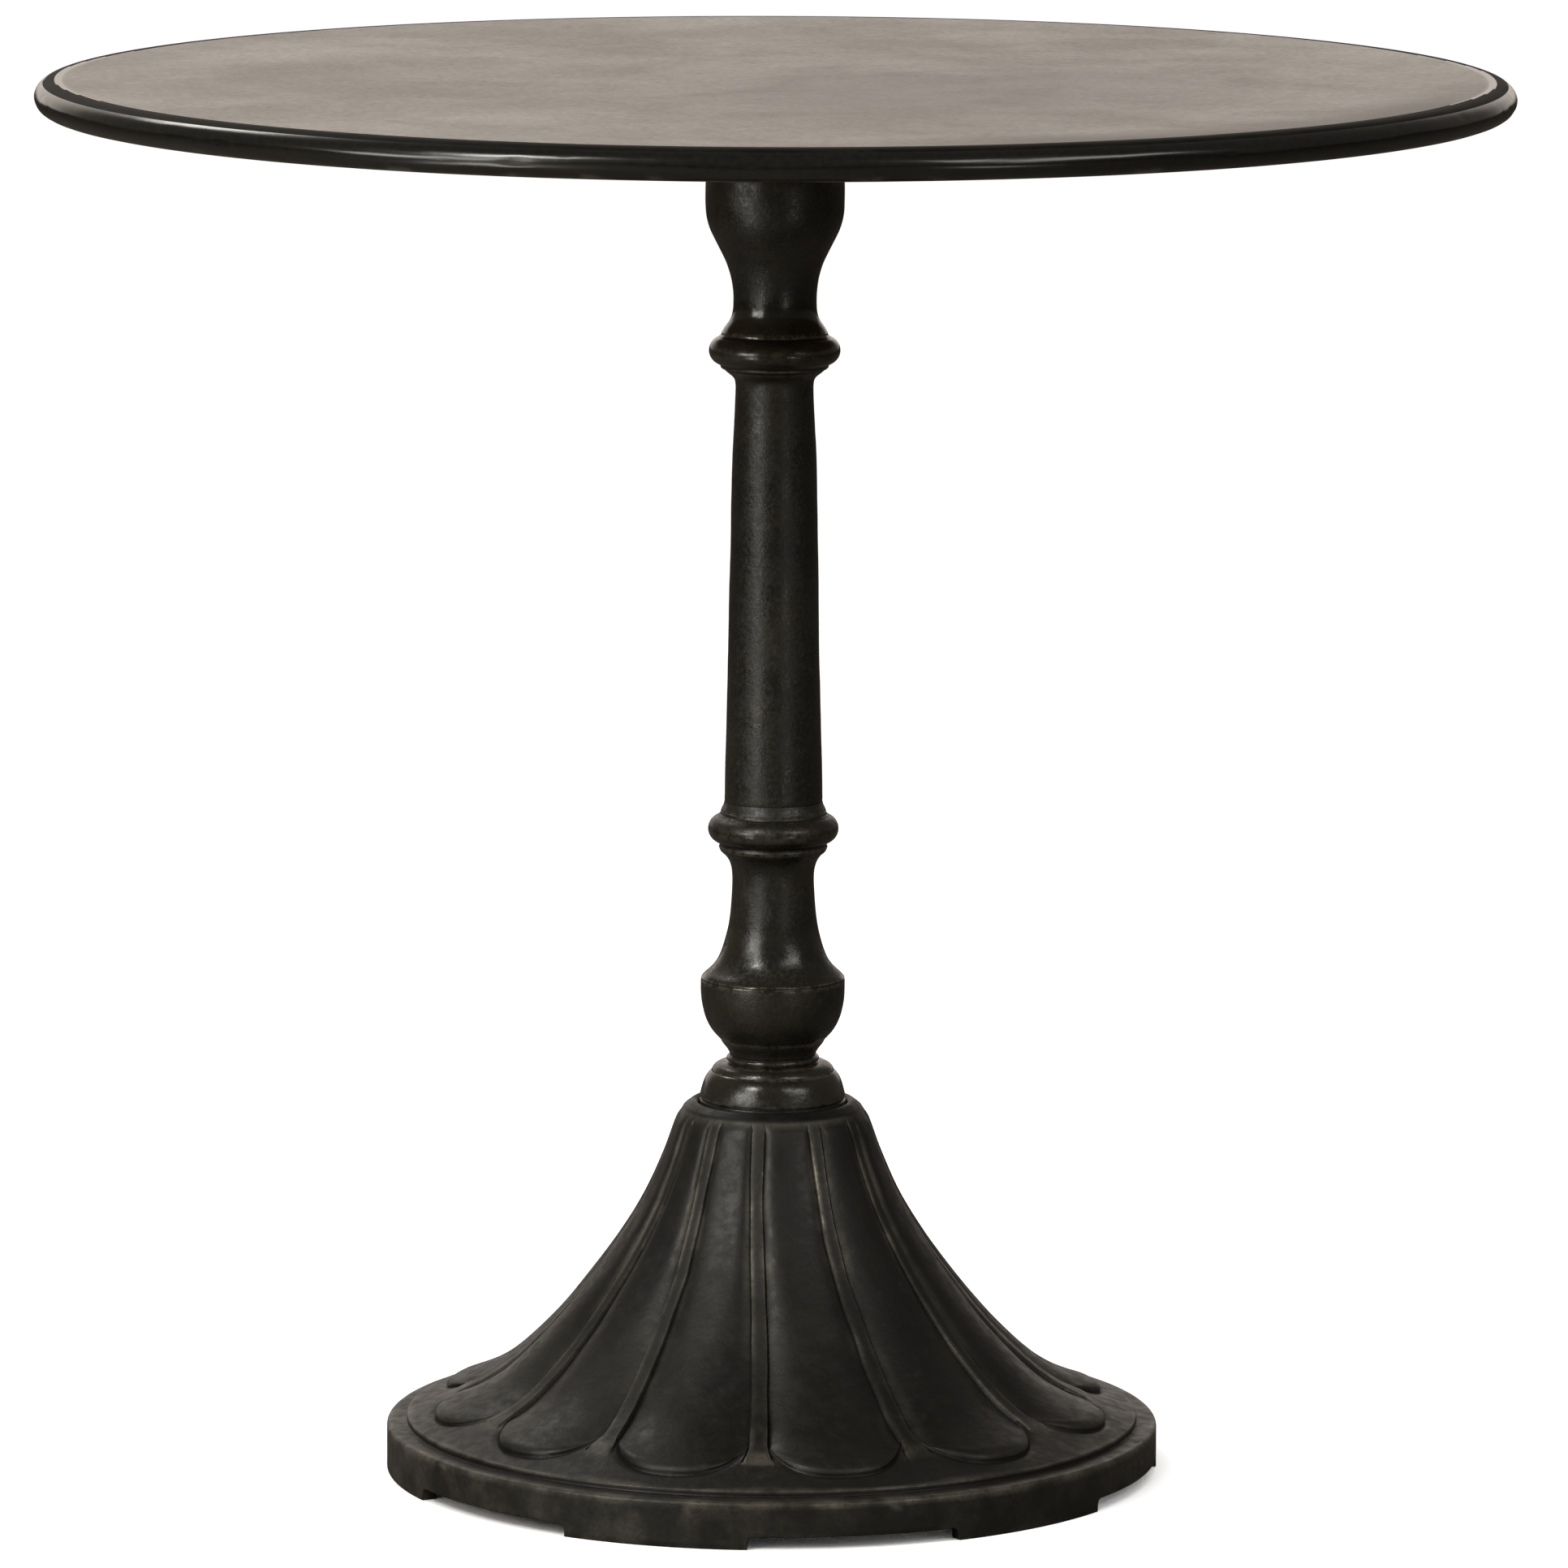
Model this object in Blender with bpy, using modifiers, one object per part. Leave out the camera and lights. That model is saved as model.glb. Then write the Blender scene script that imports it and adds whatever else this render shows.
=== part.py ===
"""Pedestal bistro table: a round metal-clad top on a cast-iron column and a fluted bell base.

Metres, +Z up. The origin is on the floor, under the middle of the table. The front is -Y, and an
azimuth is counted from the front towards the right (+X). The column is a stack of hollow castings
held together by one tie rod, which runs from a nut in the top spider to a nut inside the bell.
"""

import math

import bmesh
import bpy
from mathutils import Matrix, Vector

# Driving dimensions ------------------------------------------------------------------------------
TABLE_HEIGHT = 0.762
GAP = 0.0003                  # left between pieces that touch

# Top: a thin sheet rolled round a plywood disc
TOP_RADIUS = 0.3985
RIM_THICKNESS = 0.017
SHEET_THICKNESS = 0.0012
HEM_WIDTH = 0.021             # flat hem turned under, inside the round of the rim
TACK_COUNT = 12
TACK_HEAD_RADIUS = 0.0030
TACK_HEAD_HEIGHT = 0.0007
TACK_SHANK_RADIUS = 0.0008
TACK_LENGTH = 0.0080
TACK_POINT = 0.0020
TACK_HOLE_RADIUS = 0.0012

# Spider under the top
SPIDER_REACH = 0.155
SPIDER_ARM_THICKNESS = 0.007
SPIDER_ARM_HALF_WIDTH_ROOT = 0.017
SPIDER_ARM_HALF_WIDTH_TIP = 0.012
SPIDER_FIRST_ARM = 45.0       # degrees from +X
SPIDER_ARMS = 4
SPIDER_HUB_RADIUS = 0.0235
SPIDER_FOOT_RADIUS = 0.0335
SPIDER_FOOT_HEIGHT = 0.0017
SPIDER_HUB_TAPER = (0.0285, 0.7205)
SPIDER_SEAT = 0.7163          # underside of the hub, on the capital
NUT_POCKET_RADIUS = 0.0168
NUT_POCKET_FLOOR = 0.7282
SCREW_STATIONS = (0.085, 0.140)
SCREW_HEAD_RADIUS = 0.0045
SCREW_HEAD_HEIGHT = 0.0028
SCREW_SHANK_RADIUS = 0.0022
SCREW_HOLE_RADIUS = 0.0027
SCREW_BITE = 0.0100           # depth in the plywood
SCREW_POINT = 0.0030

# Column castings, heights of the seams between them
BORE_RADIUS = 0.013
SPIGOT_RADIUS = 0.0160
SPIGOT_LENGTH = 0.0055
SOCKET_RADIUS = 0.0163
SOCKET_DEPTH = 0.0063
CAPITAL_TOP = SPIDER_SEAT - GAP
SHAFT_TOP = 0.6042
VASE_TOP = 0.3685
BOWL_TOP = 0.2706
COLLAR_TOP = 0.2288
COLLAR_FOOT = 0.1990
RING_BULGE = 0.0075           # radius of the half-round rings on the column
RING_RADIUS = 0.0355
UPPER_RING = 0.6146
LOWER_RING = 0.3531

# Turned outlines of the column, as (radius, height), from the top down
CAPITAL_LIP = 0.0335
CAPITAL_EDGE = (0.0363, CAPITAL_TOP - 0.0028)
CAPITAL_CUP = (
    (0.0374, 0.6960), (0.0367, 0.6860), (0.0309, 0.6720), (0.0248, 0.6580), (0.0224, 0.6425),
    (0.0238, 0.6322),
)
CAPITAL_FOOT = (0.0274, SHAFT_TOP + GAP)
SHAFT_HEAD = ((0.0272, SHAFT_TOP), (0.0232, 0.6012), (0.0213, 0.5968))
SHAFT_SWELL = ((0.0211, 0.5925), (0.0226, 0.5600), (0.0240, 0.4960), (0.0265, 0.3740))
SHAFT_FOOT = (0.0266, VASE_TOP + GAP)
VASE_HEAD = (0.0267, VASE_TOP)
VASE_WAIST = ((0.0262, 0.3388), (0.0223, 0.3260), (0.0243, 0.3010), (0.0309, 0.2800))
VASE_FLARE = ((0.0348, 0.2755), (0.0389, BOWL_TOP + GAP))
BOWL_BODY = ((0.0391, BOWL_TOP), (0.0390, 0.2605), (0.0363, 0.2480), (0.0300, 0.2391))
BOWL_NECK = ((0.0284, 0.2370), (0.0274, 0.2351), (0.0245, 0.2315), (0.0235, COLLAR_TOP + GAP))
COLLAR_BEAD = (
    (0.0236, COLLAR_TOP), (0.0254, 0.2264), (0.0250, 0.2248), (0.0290, 0.2243), (0.0320, 0.2228),
    (0.0335, 0.2203),
)
COLLAR_DOME = ((0.0341, 0.2194), (0.0378, 0.2135), (0.0399, 0.2055))
COLLAR_EDGE = (0.0399, COLLAR_FOOT)

# Tie rod and its fastenings, M16
ROD_RADIUS = 0.0080
ROD_HOLE_RADIUS = 0.0085
ROD_BOTTOM = 0.1633
ROD_TOP = 0.7455
NUT_ACROSS_FLATS = 0.024
NUT_HEIGHT = 0.013
NUT_BORE_RADIUS = 0.0084
WASHER_THICKNESS = 0.0026
TOP_WASHER_RADIUS = 0.0150
BOTTOM_WASHER_RADIUS = 0.0220
LOCK_WASHER_RADIUS = 0.0125

# Base casting
BASE_RADIUS = 0.2108
PLINTH_HEIGHT = 0.0257
PLINTH_WALL = 0.0085
PLINTH_EDGE_ROUND = 0.0023
DISC_RADIUS = 0.1994
BELL_WALL = 0.0065
MOUTH_RADIUS = 0.0402
MOUTH_CREST = 0.2035
MOUTH_ROUND = 0.0030
MOUTH_SLOPE = (0.0478, 0.2010)
THROAT_RADIUS = 0.0460        # inside the bell, just under its web
PLINTH_STEP = (0.1997, 0.0263)
PLINTH_INNER = ((BASE_RADIUS - PLINTH_WALL, 0.0165), (0.1970, 0.0222))
SEAT_HEIGHT = COLLAR_FOOT - GAP
WEB_THICKNESS = 0.0120
PETAL_COUNT = 12
RIB_WIDTH = 0.0096
RIB_AZIMUTH = -1.5            # degrees; one rib is nearly at the front
PETAL_TIP_RADIUS = 0.186
PETAL_SHOULDER_RADIUS = 0.160
PETAL_CROWN_TOP = 0.0006      # rise of a petal above the ribs, at the mouth and at the lobes
PETAL_CROWN_LOW = 0.0036
PETAL_GROOVE = 0.0015
PETAL_STATIONS = (0.04, 0.34, 0.66, 0.96)   # shares of the way across a petal
PETAL_BEND_START = 0.0980     # radius from which the rings bend in beside the ribs
FOOT_COUNT = 6
NOTCH_SPAN = 32.0             # degrees
NOTCH_AZIMUTH = 12.5          # degrees; middle of one notch
NOTCH_HEIGHT = 0.0068
NOTCH_CORNER = 0.0035

# Facets round each kind of turned piece
TOP_STEPS = 72
RIM_SEGMENTS = 4
COLUMN_STEPS = 20
BASE_STEPS = 6 * PETAL_COUNT
SMALL_STEPS = 16
TACK_STEPS = 8
TACK_HOLE_STEPS = 6
SCREW_STEPS = 8

# The plain bell's fall from the mouth to the edge of the disc, as (radius, height)
BELL_CURVE = (
    (0.0495, 0.1985), (0.0530, 0.1915), (0.0600, 0.1720), (0.0700, 0.1495), (0.0830, 0.1275),
    (0.1000, 0.1038), (0.1200, 0.0792), (0.1400, 0.0590), (0.1550, 0.0478), (0.1720, 0.0395),
    (0.1860, 0.0342), (DISC_RADIUS, 0.0295),
)
BELL_RINGS = (
    0.0495, 0.0530, 0.0600, 0.0700, 0.0830, 0.0980, 0.1150, 0.1330, 0.1500,
    0.1660, 0.1800, PETAL_TIP_RADIUS, DISC_RADIUS,
)
BELL_INNER_RINGS = (0.1860, 0.1640, 0.1380, 0.1120, 0.0880, 0.0700, 0.0580)

WELD = 0.00001                # points closer than this are one
CUT_PAST = 0.002              # how far a cutter runs beyond the face that it opens

COLLECTION = "bistro_table"
CUTTERS = "cutters"
PETAL_GROUP = "petal_face"


# Scene helpers -----------------------------------------------------------------------------------
def clear_scene():
    """Remove what the scene holds, and make the two collections."""
    for thing in list(bpy.data.objects):
        bpy.data.objects.remove(thing, do_unlink=True)
    for name in (COLLECTION, CUTTERS):
        collection = bpy.data.collections.new(name)
        bpy.context.scene.collection.children.link(collection)


def material(name, colour, roughness, metallic):
    """A Principled material of one finish."""
    made = bpy.data.materials.new(name)
    made.use_nodes = True
    shader = made.node_tree.nodes["Principled BSDF"]
    shader.inputs["Base Color"].default_value = (*colour, 1.0)
    shader.inputs["Roughness"].default_value = roughness
    shader.inputs["Metallic"].default_value = metallic
    return made


def add_object(name, mesh, finish=None, collection=COLLECTION):
    """Put a mesh in the scene as a named object; a cutter has no finish."""
    made = bpy.data.objects.new(name, mesh)
    bpy.data.collections[collection].objects.link(made)
    if finish is not None and not mesh.materials:
        mesh.materials.append(finish)
    if collection == CUTTERS:
        made.hide_render = True
        made.display_type = "WIRE"
    return made


def evaluated_mesh(source):
    """A plain mesh of an object with its modifiers or its curve settings applied."""
    bpy.context.view_layer.update()
    graph = bpy.context.evaluated_depsgraph_get()
    return bpy.data.meshes.new_from_object(source.evaluated_get(graph))


def boolean(target, cutter, operation="DIFFERENCE"):
    """Cut or join one solid with another."""
    modifier = target.modifiers.new(cutter.name, "BOOLEAN")
    modifier.operation = operation
    modifier.solver = "EXACT"
    modifier.object = cutter


# Outlines ----------------------------------------------------------------------------------------
def arc(centre, radius, start, end, segments):
    """Points on an arc in the profile plane: 0 degrees points outward and 90 up."""
    points = []
    for index in range(segments + 1):
        angle = math.radians(start + (end - start) * index / segments)
        points.append((centre[0] + radius * math.cos(angle), centre[1] + radius * math.sin(angle)))
    return points


def smooth(stations, segments):
    """A smooth curve (Catmull-Rom) through stations, with so many segments between two of them."""
    padded = [Vector(station) for station in stations]
    padded.insert(0, 2 * padded[0] - padded[1])
    padded.append(2 * padded[-1] - padded[-2])
    points = []
    for first, second, third, fourth in zip(padded, padded[1:], padded[2:], padded[3:]):
        for index in range(segments):
            t = index / segments
            point = 0.5 * (2 * second + (third - first) * t
                           + (2 * first - 5 * second + 4 * third - fourth) * t ** 2
                           + (3 * second - first - 3 * third + fourth) * t ** 3)
            points.append(tuple(point))
    points.append(tuple(padded[-2]))
    return points


def turned(name, outline, steps, finish, grouped=()):
    """Turn an outline round Z. An outline that ends off the axis is closed into a ring.

    The outline runs down its outer side. Its points listed in grouped go in the petal group.
    """
    mesh = bpy.data.meshes.new(name)
    edges = [(index, index + 1) for index in range(len(outline) - 1)]
    if outline[0][0] > 0:
        edges.append((len(outline) - 1, 0))
    mesh.from_pydata([(radius, 0.0, height) for radius, height in outline], edges, [])
    made = add_object(name, mesh, finish)
    if grouped:
        group = made.vertex_groups.new(name=PETAL_GROUP)
        group.add(list(grouped), 1.0, "REPLACE")
    screw = made.modifiers.new("turn", "SCREW")
    screw.axis = "Z"
    screw.angle = math.tau
    screw.steps = steps
    screw.render_steps = steps
    screw.use_merge_vertices = True
    screw.merge_threshold = WELD
    screw.use_smooth_shade = True
    return made


def smooth_shade(made, angle=35.0):
    """Shade a mesh smooth, with its real edges kept sharp."""
    made.data.shade_smooth()
    made.data.set_sharp_from_angle(angle=math.radians(angle))


def round_cutter(name, places, radius, low, high, sides):
    """Upright cylinders at (x, y) places, as one cutter."""
    shape = bmesh.new()
    for x, y in places:
        centre = Matrix.Translation((x, y, (low + high) / 2))
        bmesh.ops.create_cone(shape, cap_ends=True, segments=sides, radius1=radius, radius2=radius,
                              depth=high - low, matrix=centre)
    mesh = bpy.data.meshes.new(name)
    shape.to_mesh(mesh)
    shape.free()
    return add_object(name, mesh, collection=CUTTERS)


def extruded(name, points, top, thickness):
    """A closed outline in plan, as a solid of even thickness below top. It is a cutter."""
    curve = bpy.data.curves.new(name, "CURVE")
    curve.dimensions = "2D"
    curve.fill_mode = "BOTH"
    curve.extrude = thickness / 2
    spline = curve.splines.new("POLY")
    spline.points.add(len(points) - 1)
    for point, (x, y) in zip(spline.points, points):
        point.co = (x, y, 0.0, 1.0)
    spline.use_cyclic_u = True
    flat = bpy.data.objects.new(name, curve)
    bpy.data.collections[CUTTERS].objects.link(flat)
    mesh = evaluated_mesh(flat)
    bpy.data.objects.remove(flat, do_unlink=True)
    mesh.transform(Matrix.Translation((0.0, 0.0, top - thickness / 2)))
    shape = bmesh.new()
    shape.from_mesh(mesh)
    bmesh.ops.remove_doubles(shape, verts=shape.verts, dist=WELD)
    bmesh.ops.recalc_face_normals(shape, faces=shape.faces)
    shape.to_mesh(mesh)
    shape.free()
    return add_object(name, mesh, collection=CUTTERS)


def on_circle(radius, angle):
    """Place on a circle, at an angle in degrees from +X."""
    return (radius * math.cos(math.radians(angle)), radius * math.sin(math.radians(angle)))


# Top ---------------------------------------------------------------------------------------------
RIM_ROUND = RIM_THICKNESS / 2
RIM_CENTRE = (TOP_RADIUS - RIM_ROUND, TABLE_HEIGHT - RIM_ROUND)
HEM_UNDERSIDE = TABLE_HEIGHT - RIM_THICKNESS
CORE_ROUND = RIM_ROUND - SHEET_THICKNESS - GAP
CORE_UNDERSIDE = RIM_CENTRE[1] - CORE_ROUND
TACK_CIRCLE = RIM_CENTRE[0] - HEM_WIDTH / 2


def tack_places():
    """Tacks are spread evenly round the middle of the hem."""
    return [on_circle(TACK_CIRCLE, 360.0 * (index + 0.5) / TACK_COUNT) for index in range(TACK_COUNT)]


def screw_places():
    """Two screws in each spider arm."""
    places = []
    for arm in range(SPIDER_ARMS):
        for station in SCREW_STATIONS:
            places.append(on_circle(station, SPIDER_FIRST_ARM + 90.0 * arm))
    return places


def make_top_sheet(finish):
    """The sheet skin: flat top, rolled rim and the hem turned under."""
    hem_edge = RIM_CENTRE[0] - HEM_WIDTH
    outline = [(0.0, TABLE_HEIGHT)]
    outline += arc(RIM_CENTRE, RIM_ROUND, 90, -90, RIM_SEGMENTS)
    outline += [(hem_edge, HEM_UNDERSIDE), (hem_edge, HEM_UNDERSIDE + SHEET_THICKNESS)]
    outline += arc(RIM_CENTRE, RIM_ROUND - SHEET_THICKNESS, -90, 90, RIM_SEGMENTS)
    outline += [(0.0, TABLE_HEIGHT - SHEET_THICKNESS)]
    sheet = turned("top_sheet", outline, TOP_STEPS, finish)
    holes = round_cutter("hem_holes", tack_places(), TACK_HOLE_RADIUS,
                         HEM_UNDERSIDE - CUT_PAST, CORE_UNDERSIDE - GAP / 2, sides=TACK_HOLE_STEPS)
    boolean(sheet, holes)
    return sheet


def make_top_core(finish):
    """The plywood disc inside the sheet, drilled for the tacks and for the spider's screws."""
    outline = [(0.0, RIM_CENTRE[1] + CORE_ROUND)]
    outline += arc(RIM_CENTRE, CORE_ROUND, 90, -90, RIM_SEGMENTS)
    outline += [(0.0, CORE_UNDERSIDE)]
    core = turned("top_core", outline, TOP_STEPS, finish)
    below = CORE_UNDERSIDE - CUT_PAST
    boolean(core, round_cutter("core_tack_holes", tack_places(), TACK_HOLE_RADIUS, below,
                               CORE_UNDERSIDE + TACK_LENGTH, sides=TACK_HOLE_STEPS))
    boolean(core, round_cutter("core_screw_holes", screw_places(), SCREW_HOLE_RADIUS, below,
                               CORE_UNDERSIDE + SCREW_BITE + GAP, sides=SCREW_STEPS))
    return core


def make_hem_tacks(finish):
    """Round-headed tacks that hold the hem to the plywood."""
    under = HEM_UNDERSIDE - GAP
    outline = [
        (0.0, under + TACK_LENGTH), (TACK_SHANK_RADIUS, under + TACK_LENGTH - TACK_POINT),
        (TACK_SHANK_RADIUS, under), (TACK_HEAD_RADIUS, under),
        (TACK_HEAD_RADIUS * 0.7, under - TACK_HEAD_HEIGHT * 0.8), (0.0, under - TACK_HEAD_HEIGHT),
    ]
    for index, (x, y) in enumerate(tack_places()):
        tack = turned(f"hem_tack_{index + 1:02d}", outline, TACK_STEPS, finish)
        tack.location = (x, y, 0.0)


# Spider ------------------------------------------------------------------------------------------
SPIDER_TOP = CORE_UNDERSIDE - GAP


def spider_outline():
    """The cross in plan: four tapering arms with round ends, meeting in square inner corners."""
    points = []
    for arm in range(SPIDER_ARMS):
        turn = math.radians(SPIDER_FIRST_ARM + 90.0 * arm)
        tip_centre = SPIDER_REACH - SPIDER_ARM_HALF_WIDTH_TIP
        side = [(SPIDER_ARM_HALF_WIDTH_ROOT, -SPIDER_ARM_HALF_WIDTH_ROOT)]
        side += arc((tip_centre, 0.0), SPIDER_ARM_HALF_WIDTH_TIP, -90, 90, 6)
        for along, across in side:
            points.append((along * math.cos(turn) - across * math.sin(turn),
                           along * math.sin(turn) + across * math.cos(turn)))
    return points


def make_top_spider(finish):
    """The cast spider: a hub that sits on the capital, and four arms under the plywood."""
    outline = [
        (SPIDER_HUB_RADIUS, SPIDER_TOP), (SPIDER_HUB_RADIUS, NUT_POCKET_FLOOR), SPIDER_HUB_TAPER,
        (SPIDER_FOOT_RADIUS, SPIDER_SEAT + SPIDER_FOOT_HEIGHT), (SPIDER_FOOT_RADIUS, SPIDER_SEAT),
        (SPIGOT_RADIUS, SPIDER_SEAT), (SPIGOT_RADIUS, SPIDER_SEAT - SPIGOT_LENGTH),
        (ROD_HOLE_RADIUS, SPIDER_SEAT - SPIGOT_LENGTH), (ROD_HOLE_RADIUS, NUT_POCKET_FLOOR),
        (NUT_POCKET_RADIUS, NUT_POCKET_FLOOR), (NUT_POCKET_RADIUS, SPIDER_TOP),
    ]
    hub = turned("top_spider", outline, COLUMN_STEPS, finish)

    arms = extruded("spider_cross", spider_outline(), SPIDER_TOP, SPIDER_ARM_THICKNESS)
    pocket = round_cutter("spider_pocket", [(0.0, 0.0)], SPIDER_HUB_RADIUS - CUT_PAST,
                          SPIDER_TOP - SPIDER_ARM_THICKNESS - CUT_PAST, SPIDER_TOP + CUT_PAST,
                          sides=COLUMN_STEPS)
    boolean(arms, pocket)
    boolean(hub, arms, "UNION")
    boolean(hub, round_cutter("spider_screw_holes", screw_places(), SCREW_HOLE_RADIUS,
                              SPIDER_TOP - SPIDER_ARM_THICKNESS - CUT_PAST, SPIDER_TOP + CUT_PAST,
                              sides=SCREW_STEPS))
    return hub


def make_spider_screws(finish):
    """Pan-headed wood screws driven up through the arms into the plywood."""
    under = SPIDER_TOP - SPIDER_ARM_THICKNESS - GAP
    tip = CORE_UNDERSIDE + SCREW_BITE
    outline = [
        (0.0, tip), (SCREW_SHANK_RADIUS, tip - SCREW_POINT), (SCREW_SHANK_RADIUS, under),
        (SCREW_HEAD_RADIUS, under), (SCREW_HEAD_RADIUS * 0.85, under - SCREW_HEAD_HEIGHT * 0.7),
        (0.0, under - SCREW_HEAD_HEIGHT),
    ]
    for index, (x, y) in enumerate(screw_places()):
        screw = turned(f"spider_screw_{index + 1}", outline, SCREW_STEPS, finish)
        screw.location = (x, y, 0.0)


# Column ------------------------------------------------------------------------------------------
def column_section(name, outer, finish):
    """A hollow casting with a socket in its top and a spigot on its foot."""
    top = outer[0][1]
    foot = outer[-1][1]
    outline = list(outer)
    outline += [(SPIGOT_RADIUS, foot), (SPIGOT_RADIUS, foot - SPIGOT_LENGTH)]
    outline += [(BORE_RADIUS, foot - SPIGOT_LENGTH), (BORE_RADIUS, top - SOCKET_DEPTH)]
    outline += [(SOCKET_RADIUS, top - SOCKET_DEPTH), (SOCKET_RADIUS, top)]
    return turned(name, outline, COLUMN_STEPS, finish)


def ring(height):
    """The half-round ring at a height, with a narrow fillet above and below it."""
    points = [(0.0283, height + 0.0116), (0.0290, height + 0.0082)]
    points += arc((RING_RADIUS - RING_BULGE, height), RING_BULGE, 70, -70, 4)
    points += [(0.0294, height - 0.0083), (0.0290, height - 0.0101)]
    return points


def make_column_capital(finish):
    """The cup under the top, its waist and the upper ring."""
    outer = [(CAPITAL_LIP, CAPITAL_TOP), CAPITAL_EDGE]
    outer += smooth(CAPITAL_CUP, 2) + ring(UPPER_RING) + [CAPITAL_FOOT]
    return column_section("column_capital", outer, finish)


def make_column_shaft(finish):
    """The long shaft, which swells slowly towards its foot."""
    outer = list(SHAFT_HEAD) + smooth(SHAFT_SWELL, 2) + [SHAFT_FOOT]
    return column_section("column_shaft", outer, finish)


def make_column_vase(finish):
    """The lower ring, the waist under it and the flare that ends in a sharp arris."""
    outer = [VASE_HEAD] + ring(LOWER_RING) + smooth(VASE_WAIST, 2) + list(VASE_FLARE)
    return column_section("column_vase", outer, finish)


def make_column_bowl(finish):
    """The bowl below the arris, ending in a narrow neck."""
    outer = smooth(BOWL_BODY, 2) + list(BOWL_NECK)
    return column_section("column_bowl", outer, finish)


def make_base_collar(finish):
    """The domed collar that sits in the mouth of the bell."""
    outer = list(COLLAR_BEAD) + smooth(COLLAR_DOME, 2) + [COLLAR_EDGE]
    return column_section("base_collar", outer, finish)


# Base --------------------------------------------------------------------------------------------
BELL_FINE = smooth(BELL_CURVE, 12)       # the bell's curve as close (radius, height) stations, outward


def bell_height(radius):
    """Height of the plain bell at a radius."""
    for (low_r, low_z), (high_r, high_z) in zip(BELL_FINE, BELL_FINE[1:]):
        if radius <= high_r:
            return low_z + (high_z - low_z) * (radius - low_r) / (high_r - low_r)
    return BELL_FINE[-1][1]


def bell_normal(radius):
    """Outward normal of the plain bell in the profile plane, as (radial, upward)."""
    step = 0.0005
    slope = (bell_height(radius + step) - bell_height(radius - step)) / (2 * step)
    length = math.hypot(slope, 1.0)
    return (-slope / length, 1.0 / length)


def petal_lift(across, radius):
    """Rise of a petal over the ribs; across runs from -1 to 1 between its two grooves."""
    share = (radius - BELL_RINGS[0]) / (PETAL_TIP_RADIUS - BELL_RINGS[0])
    crown = PETAL_CROWN_TOP + (PETAL_CROWN_LOW - PETAL_CROWN_TOP) * min(share, 1.0)
    return (crown + PETAL_GROOVE) * (1.0 - abs(across) ** 2.2) - PETAL_GROOVE


def shape_petals(mesh, group_index):
    """Slide the turned columns to rib edges and petal stations, and lift the petals.

    Each petal has six columns: the two edges of a rib, and four stations across the petal.
    The rings near the foot bend inward beside the ribs, which rounds each petal's end.
    """
    pitch = 360.0 / PETAL_COUNT
    for vertex in mesh.vertices:
        if group_index not in [entry.group for entry in vertex.groups]:
            continue
        radius = math.hypot(vertex.co.x, vertex.co.y)
        angle = math.degrees(math.atan2(vertex.co.y, vertex.co.x))
        column = round(angle / 360.0 * BASE_STEPS) % BASE_STEPS
        sector, place = divmod(column, 6)
        rib = RIB_AZIMUTH + pitch * sector
        if place < 2:
            across = 1.0
            lift = 0.0
        else:
            across = 2.0 * PETAL_STATIONS[place - 2] - 1.0
            lift = petal_lift(across, radius)
        rounding = PETAL_TIP_RADIUS - PETAL_SHOULDER_RADIUS
        if radius <= PETAL_TIP_RADIUS:
            reach = (radius - PETAL_BEND_START) / (PETAL_TIP_RADIUS - PETAL_BEND_START)
            share = max(0.0, reach) ** 2
        else:
            share = (DISC_RADIUS - radius) / (DISC_RADIUS - PETAL_TIP_RADIUS)
        bent = radius - rounding * share * abs(across) ** 2.5
        if radius > PETAL_TIP_RADIUS - 0.001:
            lift = 0.0
        half_rib = math.degrees(RIB_WIDTH / 2 / bent)
        if place < 2:
            turn = rib + (half_rib if place else -half_rib)
        else:
            turn = rib + half_rib + (pitch - 2 * half_rib) * PETAL_STATIONS[place - 2]
        normal = bell_normal(bent)
        out = bent + normal[0] * lift
        vertex.co.x = out * math.cos(math.radians(turn))
        vertex.co.y = out * math.sin(math.radians(turn))
        vertex.co.z = bell_height(bent) + normal[1] * lift


def make_notch_cutter():
    """Six blocks with rounded upper corners that part the plinth's lower edge into feet."""
    width = 2 * BASE_RADIUS * math.sin(math.radians(NOTCH_SPAN / 2))
    depth = 4 * PLINTH_WALL
    shape = bmesh.new()
    for index in range(FOOT_COUNT):
        block = bmesh.ops.create_cube(shape, size=1.0)
        corners = block["verts"]
        bmesh.ops.scale(shape, vec=(width, depth, 2 * NOTCH_HEIGHT), verts=corners)
        edges = set()
        for corner in corners:
            for edge in corner.link_edges:
                run = edge.verts[1].co - edge.verts[0].co
                if abs(run.y) > 0.9 * depth and edge.verts[0].co.z > 0:
                    edges.add(edge)
        turn = Matrix.Rotation(math.radians(NOTCH_AZIMUTH + 60.0 * index), 4, "Z")
        place = turn @ Matrix.Translation((0.0, -BASE_RADIUS * 0.97, 0.0))
        rounded = bmesh.ops.bevel(shape, geom=list(edges), offset=NOTCH_CORNER, segments=2,
                                  affect="EDGES", profile=0.5)
        block_verts = set(corners) | set(rounded["verts"])
        block_verts = [vertex for vertex in block_verts if vertex.is_valid]
        bmesh.ops.transform(shape, matrix=place, verts=block_verts)
    mesh = bpy.data.meshes.new("foot_notches")
    shape.to_mesh(mesh)
    shape.free()
    return add_object("foot_notches", mesh, collection=CUTTERS)


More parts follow.
